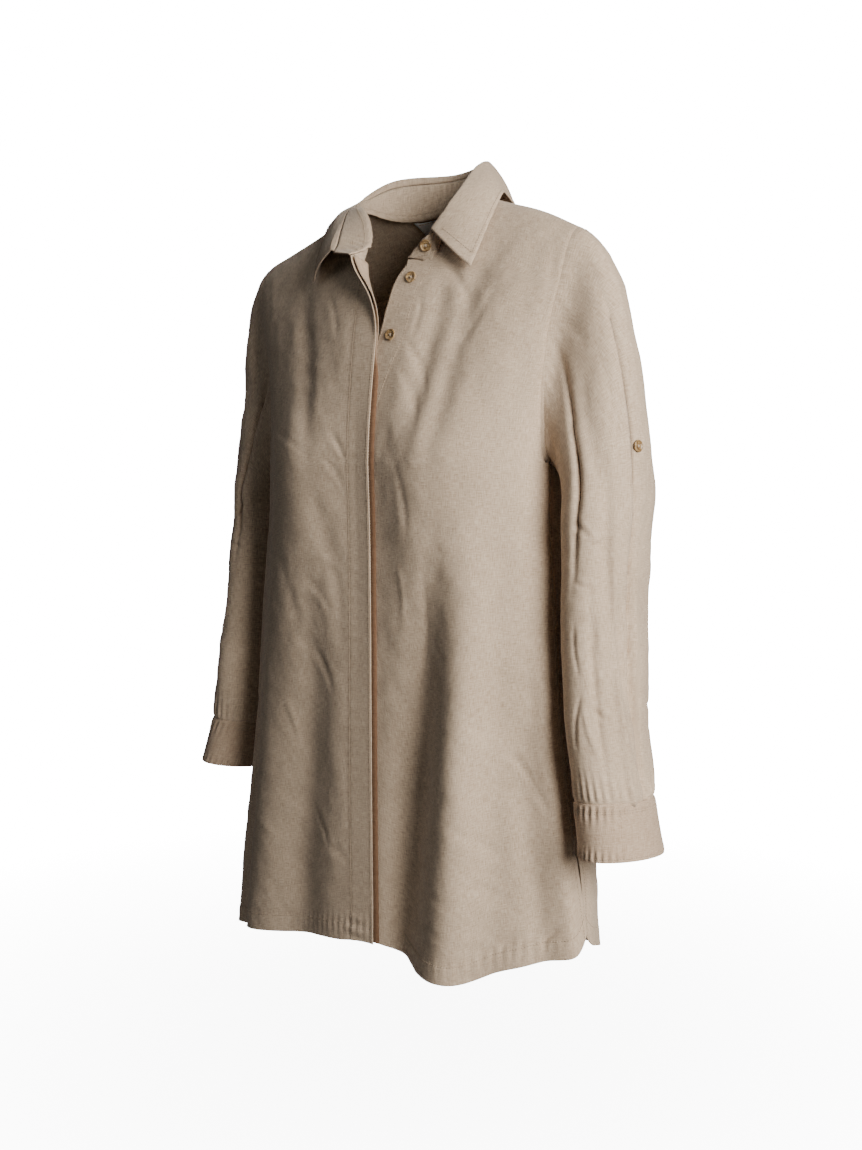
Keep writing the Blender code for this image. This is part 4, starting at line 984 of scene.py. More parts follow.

# Creases placed on the back, which the photo doesn't show
BACK_CREASES = records("x1 z1 x2 z2 wide out", (
    (-0.060, -0.070, -0.105, -0.190, 0.0090, -0.0018),
    (0.062, -0.070, 0.112, -0.200, 0.0090, -0.0018),
    (-0.015, -0.068, -0.020, -0.160, 0.0070, -0.0012),
    (0.150, -0.230, 0.070, -0.300, 0.0080, -0.0022),
    (-0.152, -0.228, -0.078, -0.310, 0.0080, -0.0022),
    (0.155, -0.330, 0.060, -0.375, 0.0060, -0.0016),
    (-0.155, -0.345, -0.050, -0.382, 0.0055, -0.0016),
    (0.040, -0.420, -0.060, -0.435, 0.0040, -0.0012),
    (-0.120, -0.470, -0.030, -0.520, 0.0050, 0.0013),
    (0.130, -0.500, 0.055, -0.560, 0.0050, -0.0016),
    (0.170, -0.640, 0.100, -0.690, 0.0045, -0.0018),
    (-0.165, -0.650, -0.090, -0.702, 0.0045, -0.0018),
    (0.060, -0.690, -0.010, -0.720, 0.0040, 0.0013),
    (-0.080, -0.600, -0.020, -0.660, 0.0050, -0.0014),
))

# Creases placed on the left sleeve: both ends by degrees round it and height, the rest as above
SLEEVE_CREASES = records("d1 z1 d2 z2 wide out", (
    (88, -0.308, 62, -0.332, 0.0036, -0.0020),
    (70, -0.338, 34, -0.327, 0.0036, -0.0018),
    (90, -0.368, 58, -0.374, 0.0034, -0.0016),
    (76, -0.472, 56, -0.530, 0.0042, 0.0022),
    (70, -0.476, 38, -0.494, 0.0040, -0.0018),
    (76, -0.462, 94, -0.526, 0.0045, -0.0020),
    (36, -0.235, 6, -0.480, 0.0078, -0.0050),
    (58, -0.160, 34, -0.330, 0.0080, -0.0026),
    (16, -0.360, -4, -0.520, 0.0076, -0.0040),
    (27, -0.420, -4, -0.572, 0.0034, 0.0018),
    (106, -0.110, 122, -0.195, 0.0060, -0.0020),
    (84, -0.080, 40, -0.160, 0.0070, -0.0014),
    (138, -0.110, 144, -0.176, 0.0055, -0.0018),
    (52, -0.378, 45, -0.460, 0.0045, -0.0014),
    (86, -0.398, 78, -0.460, 0.0045, -0.0016),
    (82, -0.200, 72, -0.284, 0.0060, -0.0014),
    (-30, -0.330, -70, -0.352, 0.0050, -0.0024),
    (-40, -0.372, -84, -0.362, 0.0045, -0.0020),
    (-20, -0.470, -66, -0.500, 0.0050, -0.0016),
    (200, -0.340, 236, -0.362, 0.0050, -0.0016),
    (-60, -0.120, -84, -0.220, 0.0070, -0.0022),
))


# Creases placed on the right sleeve, most of it out of the photo's sight
FAR_SLEEVE_CREASES = records("d1 z1 d2 z2 wide out", (
    (40, -0.120, 66, -0.210, 0.0060, -0.0018),
    (96, -0.300, 60, -0.325, 0.0040, -0.0020),
    (104, -0.352, 66, -0.344, 0.0040, -0.0018),
    (70, -0.420, 52, -0.480, 0.0045, 0.0018),
    (84, -0.150, 76, -0.250, 0.0030, 0.0012),
    (-20, -0.330, -64, -0.346, 0.0050, -0.0022),
    (-34, -0.368, -80, -0.356, 0.0045, -0.0018),
    (10, -0.300, -6, -0.430, 0.0080, -0.0016),
    (128, -0.120, 140, -0.190, 0.0055, -0.0016),
    (20, -0.440, -8, -0.500, 0.0040, -0.0018),
    (190, -0.330, 230, -0.350, 0.0050, -0.0014),
    (-60, -0.130, -86, -0.230, 0.0070, -0.0020),
))


def crease_push(creases, across, up):
    """How far creases push the cloth: each a soft bent trough with a low ridge beside it, or the reverse."""
    total = np.zeros(across.shape)
    for row in creases:
        dx, dz = row["x2"] - row["x1"], row["z2"] - row["z1"]
        long = math.hypot(dx, dz)
        along = ((across - row["x1"]) * dx + (up - row["z1"]) * dz) / long**2
        aside = ((across - row["x1"]) * dz - (up - row["z1"]) * dx) / long
        aside = aside + CREASE_BOW * long * np.sin(math.pi * along)
        fade = ease(along / CREASE_FADE) * ease((1 - along) / CREASE_FADE)
        wide = row["wide"] * (1 if row["wide"] > BROAD_CREASE else NARROWED)
        ridge = np.exp(-(((aside - 2.0 * wide) / (1.5 * wide)) ** 2))
        total = total + row["out"] * CREASE_DEPTH * fade * (np.exp(-((aside / wide) ** 2)) - 0.3 * ridge)
    return total


def small_creases(seed, count, x_range, z_range, lean, out=0.0007):
    """Uneven little creases, as washed linen has."""
    draw = np.random.RandomState(seed)
    made = []
    for _ in range(count):
        x, z = draw.uniform(*x_range), draw.uniform(*z_range)
        long = draw.uniform(0.015, 0.075)
        angle = math.radians(draw.normal(lean, 38))
        depth = draw.uniform(0.3, 1.0) * out * draw.choice((-1, -1, 1))
        made.append(dict(x1=x, z1=z, x2=x + long * math.cos(angle), z2=z + long * math.sin(angle),
                         wide=draw.uniform(0.0022, 0.0055), out=depth))
    return made


def slow_waves(seed, across, up, reach):
    """A gentle uneven swell, so that no stretch of cloth is perfectly even."""
    draw = np.random.RandomState(seed)
    total = np.zeros(across.shape)
    for _ in range(9):
        angle, wave = draw.uniform(-1.6, 1.6), draw.uniform(0.040, 0.13)
        phase = draw.uniform(0, 2 * math.pi)
        total += np.sin((across * math.cos(angle) + up * math.sin(angle)) * 2 * math.pi / wave + phase)
    return total * reach / 3


def rumple(seed, across, up, slope):
    """The small uneven dimples of washed cloth, as steep as this on average."""
    draw = np.random.RandomState(seed)
    total = np.zeros(across.shape)
    for _ in range(30):
        angle, wave = draw.uniform(0, math.pi), draw.uniform(0.009, 0.034)
        bend = 0.004 * np.sin(up * draw.uniform(60, 140) + draw.uniform(0, 6))
        phase = draw.uniform(0, 2 * math.pi)
        run = (across + bend) * math.cos(angle) + up * math.sin(angle)
        total += wave * np.sin(run * 2 * math.pi / wave + phase)
    patchy = 0.65 + 0.35 * np.sin(across * 37 + 1.3 * seed) * np.sin(up * 29 + seed)
    return total * patchy * slope / (2 * math.pi * math.sqrt(15))


def pucker(along, away, seed, wave, reach, deep):
    """Little waves that a line of stitching draws up beside it."""
    draw = np.random.RandomState(seed)
    shift = sum(draw.uniform(0.3, 1.0) * np.sin(along / (wave * k) + draw.uniform(0, 6))
                for k in (2.3, 3.7, 5.9))
    swell = 0.6 + 0.4 * np.sin(along / (wave * 4.1) + draw.uniform(0, 6))
    return deep * np.sin(along * 2 * math.pi / wave + 2.2 * shift) * swell * np.exp(-((away / reach) ** 2))


def new_mesh(name, points, faces, looks, coords=None):
    """A mesh object with its material, smooth shading and its cloth coordinates in metres."""
    mesh = bpy.data.meshes.new(name)
    mesh.from_pydata([tuple(map(float, p)) for p in points], [], faces)
    mesh.polygons.foreach_set("use_smooth", [True] * len(mesh.polygons))
    if coords is not None:
        layer = mesh.uv_layers.new(name="cloth")
        corners = np.empty(len(mesh.loops), dtype=np.int32)
        mesh.loops.foreach_get("vertex_index", corners)
        layer.data.foreach_set("uv", np.asarray(coords, dtype=np.float32)[corners].ravel())
    mesh.materials.append(looks)
    mesh.update()
    made = bpy.data.objects.new(name, mesh)
    bpy.context.scene.collection.objects.link(made)
    return made


def cloth_coords(grid):
    """Each point's place on the flat cloth, by run across and along the grid."""
    across = np.linalg.norm(np.diff(grid, axis=1), axis=2)
    along = np.linalg.norm(np.diff(grid, axis=0), axis=2)
    u = np.concatenate([np.zeros((len(grid), 1)), np.cumsum(across, axis=1)], axis=1)
    u = u - u.mean(axis=1, keepdims=True)
    v = np.concatenate([[0], np.cumsum(along.mean(axis=1))])
    return np.stack([u, np.repeat(v[:, None], grid.shape[1], axis=1)], -1)


def thin_shell(name, grid, normals, looks, thick=SHEET, around=False):
    """A cloth wall with its edges closed, from its outer points and normals, and its area."""
    rows, cols = grid.shape[:2]
    coords = cloth_coords(grid).reshape(-1, 2)
    points = np.concatenate([grid.reshape(-1, 3), (grid - normals * thick).reshape(-1, 3)])
    half, last = rows * cols, (rows - 1) * cols
    wide = cols if around else cols - 1
    r, c = np.meshgrid(np.arange(rows - 1), np.arange(wide), indexing="ij")
    a, b = r * cols + c, r * cols + (c + 1) % cols
    quads = np.stack([a, b, b + cols, a + cols], -1).reshape(-1, 4)
    rims = [[k, k + half, k + 1 + half, k + 1] for k in range(cols - 1)]
    rims += [[k, k + 1, k + 1 + half, k + half] for k in range(last, half - 1)]
    if around:
        rims += [[cols - 1, cols - 1 + half, half, 0], [half - 1, last, last + half, 2 * half - 1]]
    else:
        for p in range(0, last, cols):
            q = p + cols - 1
            rims += [[p, p + cols, p + cols + half, p + half], [q, q + half, q + cols + half, q + cols]]
    faces = quads.tolist() + (quads[:, ::-1] + half).tolist() + rims
    return new_mesh(name, points, faces, looks, np.concatenate([coords, coords])), grid_area(grid, around)


def grid_area(grid, around=False):
    if around:
        grid = np.concatenate([grid, grid[:, :1]], axis=1)
    one = np.cross(grid[1:, 1:] - grid[:-1, :-1], grid[1:, :-1] - grid[:-1, 1:])
    return float(np.linalg.norm(one, axis=2).sum() / 2)


def stitches(name, lines, looks, pitch=0.0029, length=0.0020, thick=0.00034, lift=0.00012):
    """Rows of small raised stitches along lines of points with normals, all in one mesh."""
    points, faces = [], []
    for line, normals in lines:
        run = run_of(line)
        count = max(int(run[-1] / pitch), 1)
        for spot in (np.arange(count) + 0.5) * run[-1] / count:
            ends = resample(np.clip([spot - length / 2, spot + length / 2], 0, run[-1]), run, line)
            up = unit(resample([spot], run, normals)[0])
            along = ends[1] - ends[0]
            if np.linalg.norm(along) < 1e-6:
                continue
            side = unit(np.cross(up, along)) * thick
            first = len(points)
            for share, high, tall in ((0.0, -0.6, 0.55), (0.2, 0.7, 1.0), (0.8, 0.7, 1.0), (1.0, -0.6, 0.55)):
                mid = ends[0] + along * share + up * (thick * high + lift)
                across = side * tall
                points += [mid + across, mid + up * thick * 0.9 * tall, mid - across, mid - up * thick]
            for a in (first, first + 4, first + 8):
                faces += [(a + j, a + (j + 1) % 4, a + 4 + (j + 1) % 4, a + 4 + j) for j in range(4)]
            faces += [tuple(first + j for j in end) for end in ((3, 2, 1, 0), (12, 13, 14, 15))]
    made = new_mesh(name, points, faces, looks)
    mend = bmesh.new()
    mend.from_mesh(made.data)
    bmesh.ops.recalc_face_normals(mend, faces=mend.faces)
    mend.to_mesh(made.data)
    mend.free()
    return made


def grid_line(grid, normals, place, across=False, first=0.0, last=1.0, count=None):
    """A line of points and normals on a grid: along a column place, or across at a row place."""
    size = grid.shape[1] if across else grid.shape[0]
    at = np.linspace(first * (size - 1), last * (size - 1), count or size)
    pairs = [grid_point(grid, normals, *((place, k) if across else (k, place))) for k in at]
    return np.array([p for p, n in pairs]), np.array([n for p, n in pairs])


def level_line(grid, normals, field, value, first=0.0, last=1.0, edge=1):
    """The line where a field over the grid's columns has this value, one point for each row, as seen
    from the first column where edge is 1 and from the last where it is -1."""
    rows = grid.shape[0]
    points, facing = [], []
    for r in range(int(first * (rows - 1)), int(last * (rows - 1)) + 1):
        values = field[r] if edge > 0 else field[r, ::-1]
        place = float(np.interp(value, values, np.arange(len(values))))
        place = place if edge > 0 else len(values) - 1 - place
        c = min(int(place), len(values) - 2)
        u = place - c
        points.append(grid[r, c] * (1 - u) + grid[r, c + 1] * u)
        facing.append(normals[r, c] * (1 - u) + normals[r, c + 1] * u)
    return np.array(points), unit(np.array(facing))


def row_line(grid, normals, field, value, first=0.0, last=1.0):
    """The line where a field over the grid's rows has this value, one point for each column."""
    return level_line(grid.swapaxes(0, 1), normals.swapaxes(0, 1), field.T, value, first, last)


def shader(name, base_roughness=0.9):
    made = bpy.data.materials.new(name)
    made.use_nodes = True
    tree = made.node_tree
    core = tree.nodes["Principled BSDF"]
    core.inputs["Roughness"].default_value = base_roughness
    return made, tree, core


def new_node(tree, kind, values=()):
    """A shader node with these values at its inputs."""
    made = tree.nodes.new("ShaderNode" + kind)
    for name, value in dict(values).items():
        made.inputs[name].default_value = value
    return made


def raised(tree, core, height, strength, distance):
    """Gives a material's surface a height."""
    bump = new_node(tree, "Bump", {"Strength": strength, "Distance": distance})
    tree.links.new(height, bump.inputs["Height"])
    tree.links.new(bump.outputs["Normal"], core.inputs["Normal"])


def object_place(tree):
    return new_node(tree, "TexCoord").outputs["Object"]


def camera_ray(tree):
    return new_node(tree, "LightPath").outputs["Is Camera Ray"]


def ramp(tree, factor, stops):
    node = new_node(tree, "ValToRGB")
    while len(node.color_ramp.elements) < len(stops):
        node.color_ramp.elements.new(0.5)
    for element, (place, colour) in zip(node.color_ramp.elements, stops):
        element.position = place
        element.color = (*colour, 1.0)
    tree.links.new(factor, node.inputs["Fac"])
    return node.outputs["Color"]


def scaled(tree, vector, scale):
    node = new_node(tree, "Mapping", {"Scale": scale})
    tree.links.new(vector, node.inputs["Vector"])
    return node.outputs["Vector"]


def noise(tree, vector, scale, detail, rough):
    node = new_node(tree, "TexNoise", {"Scale": scale, "Detail": detail, "Roughness": rough})
    tree.links.new(vector, node.inputs["Vector"])
    return node.outputs["Fac"]


def maths(tree, kind, one, two):
    node = new_node(tree, "Math")
    node.operation = kind
    for socket, value in zip(node.inputs, (one, two)):
        if isinstance(value, (int, float)):
            socket.default_value = value
        else:
            tree.links.new(value, socket)
    return node.outputs[0]


def multiplied(tree, one, two):
    """Two colours multiplied."""
    node = new_node(tree, "Mix")
    node.data_type, node.blend_type = "RGBA", "MULTIPLY"
    node.inputs[0].default_value = 1.0
    for socket, colour in zip(node.inputs[6:8], (one, two)):
        tree.links.new(colour, socket)
    return node.outputs[2]


# The linen's colours by how much thread shows, and the weave's scale: threads for each metre by a full turn
LINEN_TONES = ((0.37, (0.395, 0.292, 0.202)), (0.50, (0.530, 0.408, 0.292)), (0.63, (0.665, 0.540, 0.408)))
WEAVE_SCALE = 1500.0 / 6.28


def linen_cloth(name, tone=(1.0, 1.0, 1.0), painted_shade_below=None):
    """Washed linen: slubby warp and weft threads, mottled colour and a faint fuzz. tone darkens the whole
    cloth as painted shade; painted_shade_below is a height and the darker tone painted below it as shade."""
    made, tree, core = shader(name, 0.92)
    source = new_node(tree, "UVMap")
    source.uv_map = "cloth"
    flat = source.outputs["UV"]
    warp, weft = (noise(tree, scaled(tree, flat, scale), 1.0, 3.0, 0.6)
                  for scale in ((1500.0, 120.0, 1.0), (130.0, 1400.0, 1.0)))
    threads = maths(tree, "ADD", maths(tree, "MULTIPLY", warp, 0.5), maths(tree, "MULTIPLY", weft, 0.5))
    place = object_place(tree)
    stops = [(at, tuple(v * t for v, t in zip(colour, tone))) for at, colour in LINEN_TONES]
    patches = noise(tree, place, 14.0, 3.0, 0.5)
    shade = ramp(tree, patches, ((0.30, (0.93, 0.925, 0.92)), (0.70, (1.05, 1.05, 1.05))))
    colour = multiplied(tree, ramp(tree, threads, stops), shade)
    # Painted shade: below this height the cloth is darkened towards the given tone
    if painted_shade_below:
        apart = new_node(tree, "SeparateXYZ")
        tree.links.new(place, apart.inputs["Vector"])
        rise = new_node(tree, "MapRange", {"From Min": painted_shade_below[0] - 0.02, "From Max": painted_shade_below[0] + 0.01})
        tree.links.new(apart.outputs["Z"], rise.inputs["Value"])
        shade = ramp(tree, rise.outputs["Result"], ((0.0, painted_shade_below[1]), (1.0, (1.0, 1.0, 1.0))))
        colour = multiplied(tree, colour, shade)
    tree.links.new(colour, core.inputs["Base Color"])
    waves = []
    for direction in "XY":
        wave = new_node(tree, "TexWave", {"Scale": WEAVE_SCALE, "Distortion": 1.4, "Detail Scale": 0.6})
        wave.wave_type, wave.bands_direction = "BANDS", direction
        tree.links.new(flat, wave.inputs["Vector"])
        waves.append(wave.outputs["Fac"])
    weave = maths(tree, "MULTIPLY", *waves)
    height = maths(tree, "ADD", maths(tree, "MULTIPLY", weave, 0.10), maths(tree, "MULTIPLY", threads, 0.9))
    crumple = noise(tree, place, 95.0, 4.0, 0.6)
    height = maths(tree, "ADD", height, maths(tree, "MULTIPLY", crumple, 0.55))
    raised(tree, core, height, 0.55, 0.0006)
    core.inputs["Sheen Weight"].default_value = 0.22
    core.inputs["Sheen Roughness"].default_value = 0.45
    core.inputs["Specular IOR Level"].default_value = 0.18
    return made


def plain_threads(name, colour, roughness):
    """Sewing thread or narrow tape, with a fine twist in its colour and surface."""
    made, tree, core = shader(name, roughness)
    grain = noise(tree, scaled(tree, object_place(tree), (900.0, 900.0, 2600.0)), 1.0, 2.0, 0.5)
    low = tuple(v * 0.82 for v in colour)
    tree.links.new(ramp(tree, grain, ((0.35, low), (0.65, colour))), core.inputs["Base Color"])
    raised(tree, core, grain, 0.35, 0.0002)
    core.inputs["Sheen Weight"].default_value = 0.1
    core.inputs["Specular IOR Level"].default_value = 0.25
    return made


def button_horn(name):
    """Brown horn-like button: swirled amber and dark brown, a little glossy."""
    made, tree, core = shader(name, 0.34)
    place = object_place(tree)
    swirl = noise(tree, scaled(tree, place, (240.0, 240.0, 420.0)), 1.0, 5.0, 0.62)
    stops = ((0.34, (0.085, 0.045, 0.018)), (0.50, (0.270, 0.165, 0.070)), (0.64, (0.46, 0.32, 0.16)))
    tree.links.new(ramp(tree, swirl, stops), core.inputs["Base Color"])
    raised(tree, core, noise(tree, place, 2600.0, 2.0, 0.5), 0.12, 0.0002)
    roughness = maths(tree, "ADD", maths(tree, "MULTIPLY", swirl, 0.25), 0.22)
    tree.links.new(roughness, core.inputs["Roughness"])
    core.inputs["Coat Weight"].default_value = 0.25
    core.inputs["Coat Roughness"].default_value = 0.25
    return made


# The turned button's outline from its back up and over the rim: share of the radius and of the thickness.
# Then its holes' half width and their distance from the middle by the radius, and the height of its dish
BUTTON_PROFILE = ((0.80, 0.0), (0.93, 0.10), (1.0, 0.38), (0.995, 0.62), (0.95, 0.90), (0.88, 1.0),
                  (0.80, 0.96), (0.70, 0.72), (0.60, 0.60))
HOLE_SIZE = 0.16
HOLE_REACH = 0.24
DISH = 0.56
DISH_REACH = 0.545


def turned_button(name, centre, normal, looks, radius=BUTTON_RADIUS):
    """A turned button: rounded rim, dished middle and four holes, its back on the cloth. Its threads'
    frame comes with it."""
    normal = unit(normal)
    side = unit(np.cross(normal, [0.0, 0.0, 1.0]))
    other = np.cross(normal, side)
    hole, around = HOLE_SIZE * radius / BUTTON_RADIUS, 48
    points, faces = [centre], []
    for wide, high in BUTTON_PROFILE:
        for k in range(around):
            angle = 2 * math.pi * k / around
            ring = (side * math.cos(angle) + other * math.sin(angle)) * radius * wide
            points.append(centre + ring + normal * BUTTON_THICK * high)
    faces += [(0, 1 + (k + 1) % around, 1 + k) for k in range(around)]
    for row in range(len(BUTTON_PROFILE) - 1):
        for k in range(around):
            a, b = 1 + row * around + k, 1 + row * around + (k + 1) % around
            faces.append((a, b, b + around, a + around))
    inner = 1 + (len(BUTTON_PROFILE) - 1) * around
    spots = [(HOLE_REACH * math.cos(a), HOLE_REACH * math.sin(a)) for a in np.radians((45, 135, 225, 315))]
    steps = np.linspace(-0.52, 0.52, 27)
    index = {}

    def flat_point(u, v, high):
        return centre + (side * u + other * v) * radius + normal * BUTTON_THICK * high

    def depth(u, v):
        near = min(math.hypot(u - a, v - b) for a, b in spots)
        return DISH - 0.5 * float(ease((hole - near) / 0.05 + 0.5))

    for i, u in enumerate(steps):
        for j, v in enumerate(steps):
            if math.hypot(u, v) < DISH_REACH:
                index[i, j] = len(points)
                points.append(flat_point(u, v, depth(u, v)))
    for i, j in index:
        corner = [(i, j), (i + 1, j), (i + 1, j + 1), (i, j + 1)]
        if all(spot in index for spot in corner):
            faces.append(tuple(index[spot] for spot in corner))
    skirt = len(points)
    for k in range(around):
        angle = 2 * math.pi * k / around
        points.append(flat_point(0.50 * math.cos(angle), 0.50 * math.sin(angle), DISH - 0.02))
        faces.append((inner + k, inner + (k + 1) % around, skirt + (k + 1) % around, skirt + k))
    made = new_mesh(name, points, faces, looks)
    return made, (centre, normal, side, other, radius, spots)


# Half width and half height of the threads bunched through a button
THREAD_HALF = 0.00055
THREAD_RISE = 0.00028


def button_thread(name, frames, looks):
    """The crossed threads that hold the buttons, through each pair of holes."""
    points, faces = [], []
    for centre, normal, side, other, radius, spots in frames:
        for first_spot, second_spot in ((0, 2), (1, 3)):
            (u1, v1), (u2, v2) = spots[first_spot], spots[second_spot]
            base = len(points)
            for share in np.linspace(0, 1, 9):
                u, v = u1 + (u2 - u1) * share, v1 + (v2 - v1) * share
                high = DISH + 0.20 * math.sin(math.pi * share) - (0.35 if share in (0.0, 1.0) else 0.0)
                mid = centre + (side * u + other * v) * radius + normal * BUTTON_THICK * high
                across = unit(np.cross(normal, (side * (u2 - u1) + other * (v2 - v1))))
                for angle in (0, 60, 120, 180, 240, 300):
                    a = math.radians(angle)
                    wide, high = across * THREAD_HALF * math.cos(a), normal * THREAD_RISE * math.sin(a)
                    points.append(mid + wide + high)
            for k in range(8):
                a = base + 6 * k
                faces += [(a + j, a + (j + 1) % 6, a + 6 + (j + 1) % 6, a + 6 + j) for j in range(6)]
            faces += [tuple(base + j for j in (5, 4, 3, 2, 1, 0)), tuple(base + 48 + j for j in range(6))]
    return new_mesh(name, points, faces, looks)


def run_along(points):
    """Each point's distance up its column from the grid's first row."""
    steps = np.linalg.norm(np.diff(points, axis=0), axis=2)
    return np.concatenate([np.zeros((1, points.shape[1])), np.cumsum(steps, axis=0)])


def run_across(points):
    return run_along(points.swapaxes(0, 1)).swapaxes(0, 1)


def moved(points, normals, push, hold, around=False):
    """The cloth after its creases, with its new normals, or the seam's own where hold is 1."""
    made = points + normals * push[..., None]
    facing = grid_normals(made, around)
    facing = facing * np.where((facing * normals).sum(-1, keepdims=True) < 0, -1, 1)
    hold = np.clip(hold, 0, 1)[..., None]
    return made, unit(facing * (1 - hold) + normals * hold)


def groove(away, wide, deep):
    return -deep * np.exp(-((away / wide) ** 2))


def band(away, width, high):
    """A folded band's extra thickness, from its edge to its line of stitching."""
    return high * ease((width - away) / 0.0012 + 0.5)


def vent_share(z):
    """1 below the top of the side vent, 0 above it."""
    return ease((SLIT_TOP_Z - z) / 0.004 + 0.5)


def hem_push(hem):
    return band(hem, HEM_BAND, 0.0004) + groove(hem - HEM_STITCH, 0.0012, 0.0004)


def vent_push(vent, side_away):
    return vent * (band(side_away, VENT_BAND, 0.0003) + groove(side_away - VENT_STITCH, 0.001, 0.0003))


def vent_end(z):
    """The share of a panel's rows that lies beside its side vent."""
    return float(np.interp(SLIT_TOP_Z, z[:, z.shape[1] // 2], np.arange(len(z)))) / (len(z) - 1)


def nearer_end(along):
    """Each point's distance from the nearer end of its row."""
    return np.minimum(along, along[:, -1:] - along)


def tucked_under(grid, facing):
    """Adds the seam allowance past the last row, on the inner side of the neighbouring panel."""
    more = grid[-1] + unit(grid[-1] - grid[-3]) * 0.0060 - facing[-1] * 0.0016
    return np.concatenate([grid, more[None]]), np.concatenate([facing, facing[-1:]])


def inside_of(line, thick):
    points, normals = line
    return points - normals * thick, -normals


cloth_parts = []


def finish_cloth(name, node, grid, normals, looks, seams=(), thick=SHEET, around=False):
    """Makes a cloth piece and its stitching, hides the imported part it replaces and works out how wide it is
    cut.
    """
    made, area = thin_shell(name, grid, normals, looks[0], thick, around)
    sewn = []
    for k, (lines, kind) in enumerate(seams):
        sewn.append(stitches("%s_stitches_%d" % (name, k + 1), lines, looks[1], **kind))
    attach(made, "root")
    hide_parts(node)
    for piece in sewn:
        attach(piece, "root")
    wide = float(run_across(grid)[:, -1].max())
    if around:
        wide += float(np.linalg.norm(grid[:, 0] - grid[:, -1], axis=1).max())


def front(side, looks, word):
    """A front panel with its creases, placket, hem band, vent and stitching."""
    turns, levels, front_away, side_away = front_grid(side)
    points, normals = front_cloth(side, turns, levels)
    x, z = points[..., 0], points[..., 2]
    hem = run_along(points)
    top = hem[-1] - hem
    last = neck_row(side)
    rows = np.arange(len(points))[:, None]
    placket = 0.22 + 0.78 * ease((front_away - PLACKET) / 0.012)
    free = np.where(rows >= last, ease(front_away / 0.02), placket)
    free = free * ease(side_away / 0.014) * ease(top / 0.016)
    x_range = (0.03, 0.20) if side > 0 else (-0.20, 0.0)
    creases = list(FRONT_CREASES)
    creases += small_creases(31 + side, 46, x_range, (-0.73, -0.28), 8)
    creases += small_creases(41 + side, 9, x_range, (-0.30, -0.06), 60 * side, 0.0005)
    push = free * (PANEL_CREASES * crease_push(creases, x, z) + slow_waves(51 + side, x, z, 0.0004))
    push = push + free * rumple(55 + side, x, z, 0.06)
    below = ease((last - rows) / 4.0)
    tight = 0.35 + 0.65 * ease((-0.30 - z) / 0.08)
    push = push + hem_push(hem)
    push = push + pucker(x, hem - HEM_BAND + 0.004, 61 + side, 0.0085, 0.010, 0.0007) * ease(side_away / 0.01)
    folded = band(front_away, PLACKET, 0.0003) + groove(front_away - PLACKET_STITCH, 0.0010, 0.00035)
    push = push + below * folded
    push = push + below * tight * pucker(z, front_away - PLACKET + 0.007, 71 + side, 0.0115, 0.0105, 0.0008)
    vent = vent_share(z)
    push = push + vent_push(vent, side_away)
    push = push + (1 - vent) * groove(side_away, 0.0018, 0.0006)
    push = push + (1 - vent) * pucker(z, side_away, 81 + side, 0.012, 0.007, 0.0003) * ease(side_away / 0.002)
    hold = 1 - ease(top / 0.003)
    grid, facing = moved(points, normals, push, hold)
    share = (last - 1) / (len(points) - 1)
    slit = vent_end(z)
    lines = [row_line(grid, facing, hem, HEM_STITCH),
             level_line(grid, facing, front_away, PLACKET_STITCH, 0, share, side),
             level_line(grid, facing, front_away, EDGE_STITCH, 0, share, side),
             level_line(grid, facing, side_away, VENT_STITCH, 0, slit, -side)]
    cloth_parts.append((grid, facing))
    grid, facing = tucked_under(grid, facing)
    finish_cloth("front_%s_linen" % word, "front_" + word, grid, facing, looks, [(lines, {})])
    return (points, normals), front_away


def back(looks):
    turns, levels, side_away = back_grid()
    points, normals = cloth_surface(turns, levels), surface_normals(cloth_surface, turns, levels)
    x, z = points[..., 0].copy(), points[..., 2]
    points[..., 0] -= 0.007 * np.sign(x) * ease((SLIT_TOP_Z - z) / 0.10) * ease((np.abs(x) - 0.12) / 0.08)
    hem = run_along(points)
    top = hem[-1] - hem
    free = ease(side_away / 0.014) * ease(top / 0.012)
    creases = list(BACK_CREASES) + small_creases(91, 90, (-0.20, 0.18), (-0.73, -0.28), 5)
    creases += small_creases(92, 30, (-0.15, 0.13), (-0.29, -0.07), 80)
    waves, dimples = slow_waves(93, x, z, 0.0007), rumple(96, x, z, 0.06)
    push = free * (PANEL_CREASES * crease_push(creases, x, z) + waves + dimples)
    push = push + hem_push(hem)
    push = push + pucker(x, hem - HEM_BAND, 94, 0.0085, 0.008, 0.0005) * ease(side_away / 0.01)
    vent = vent_share(z)
    push = push + vent_push(vent, side_away)
    push = push + (1 - vent) * groove(side_away, 0.0018, 0.0006)
    push = push + pucker(x, top, 95, 0.010, 0.008, 0.0004) * ease(top / 0.002)
    grid, facing = moved(points, normals, push, 1 - ease(top / 0.003))
    slit = vent_end(z)
    grid, facing = tucked_under(grid, facing)
    hem, side_away = [np.concatenate([part, part[-1:] + 0.004]) for part in (hem, side_away)]
    half = side_away.shape[1] // 2
    lines = [row_line(grid, facing, hem, HEM_STITCH)]
    for part, edge in ((slice(0, half), 1), (slice(half, None), -1)):
        panel = (grid[:, part], facing[:, part], side_away[:, part])
        lines.append(level_line(*panel, VENT_STITCH, 0, slit, edge))
    finish_cloth("back_linen", "back", grid, facing, looks, [(lines, {})])


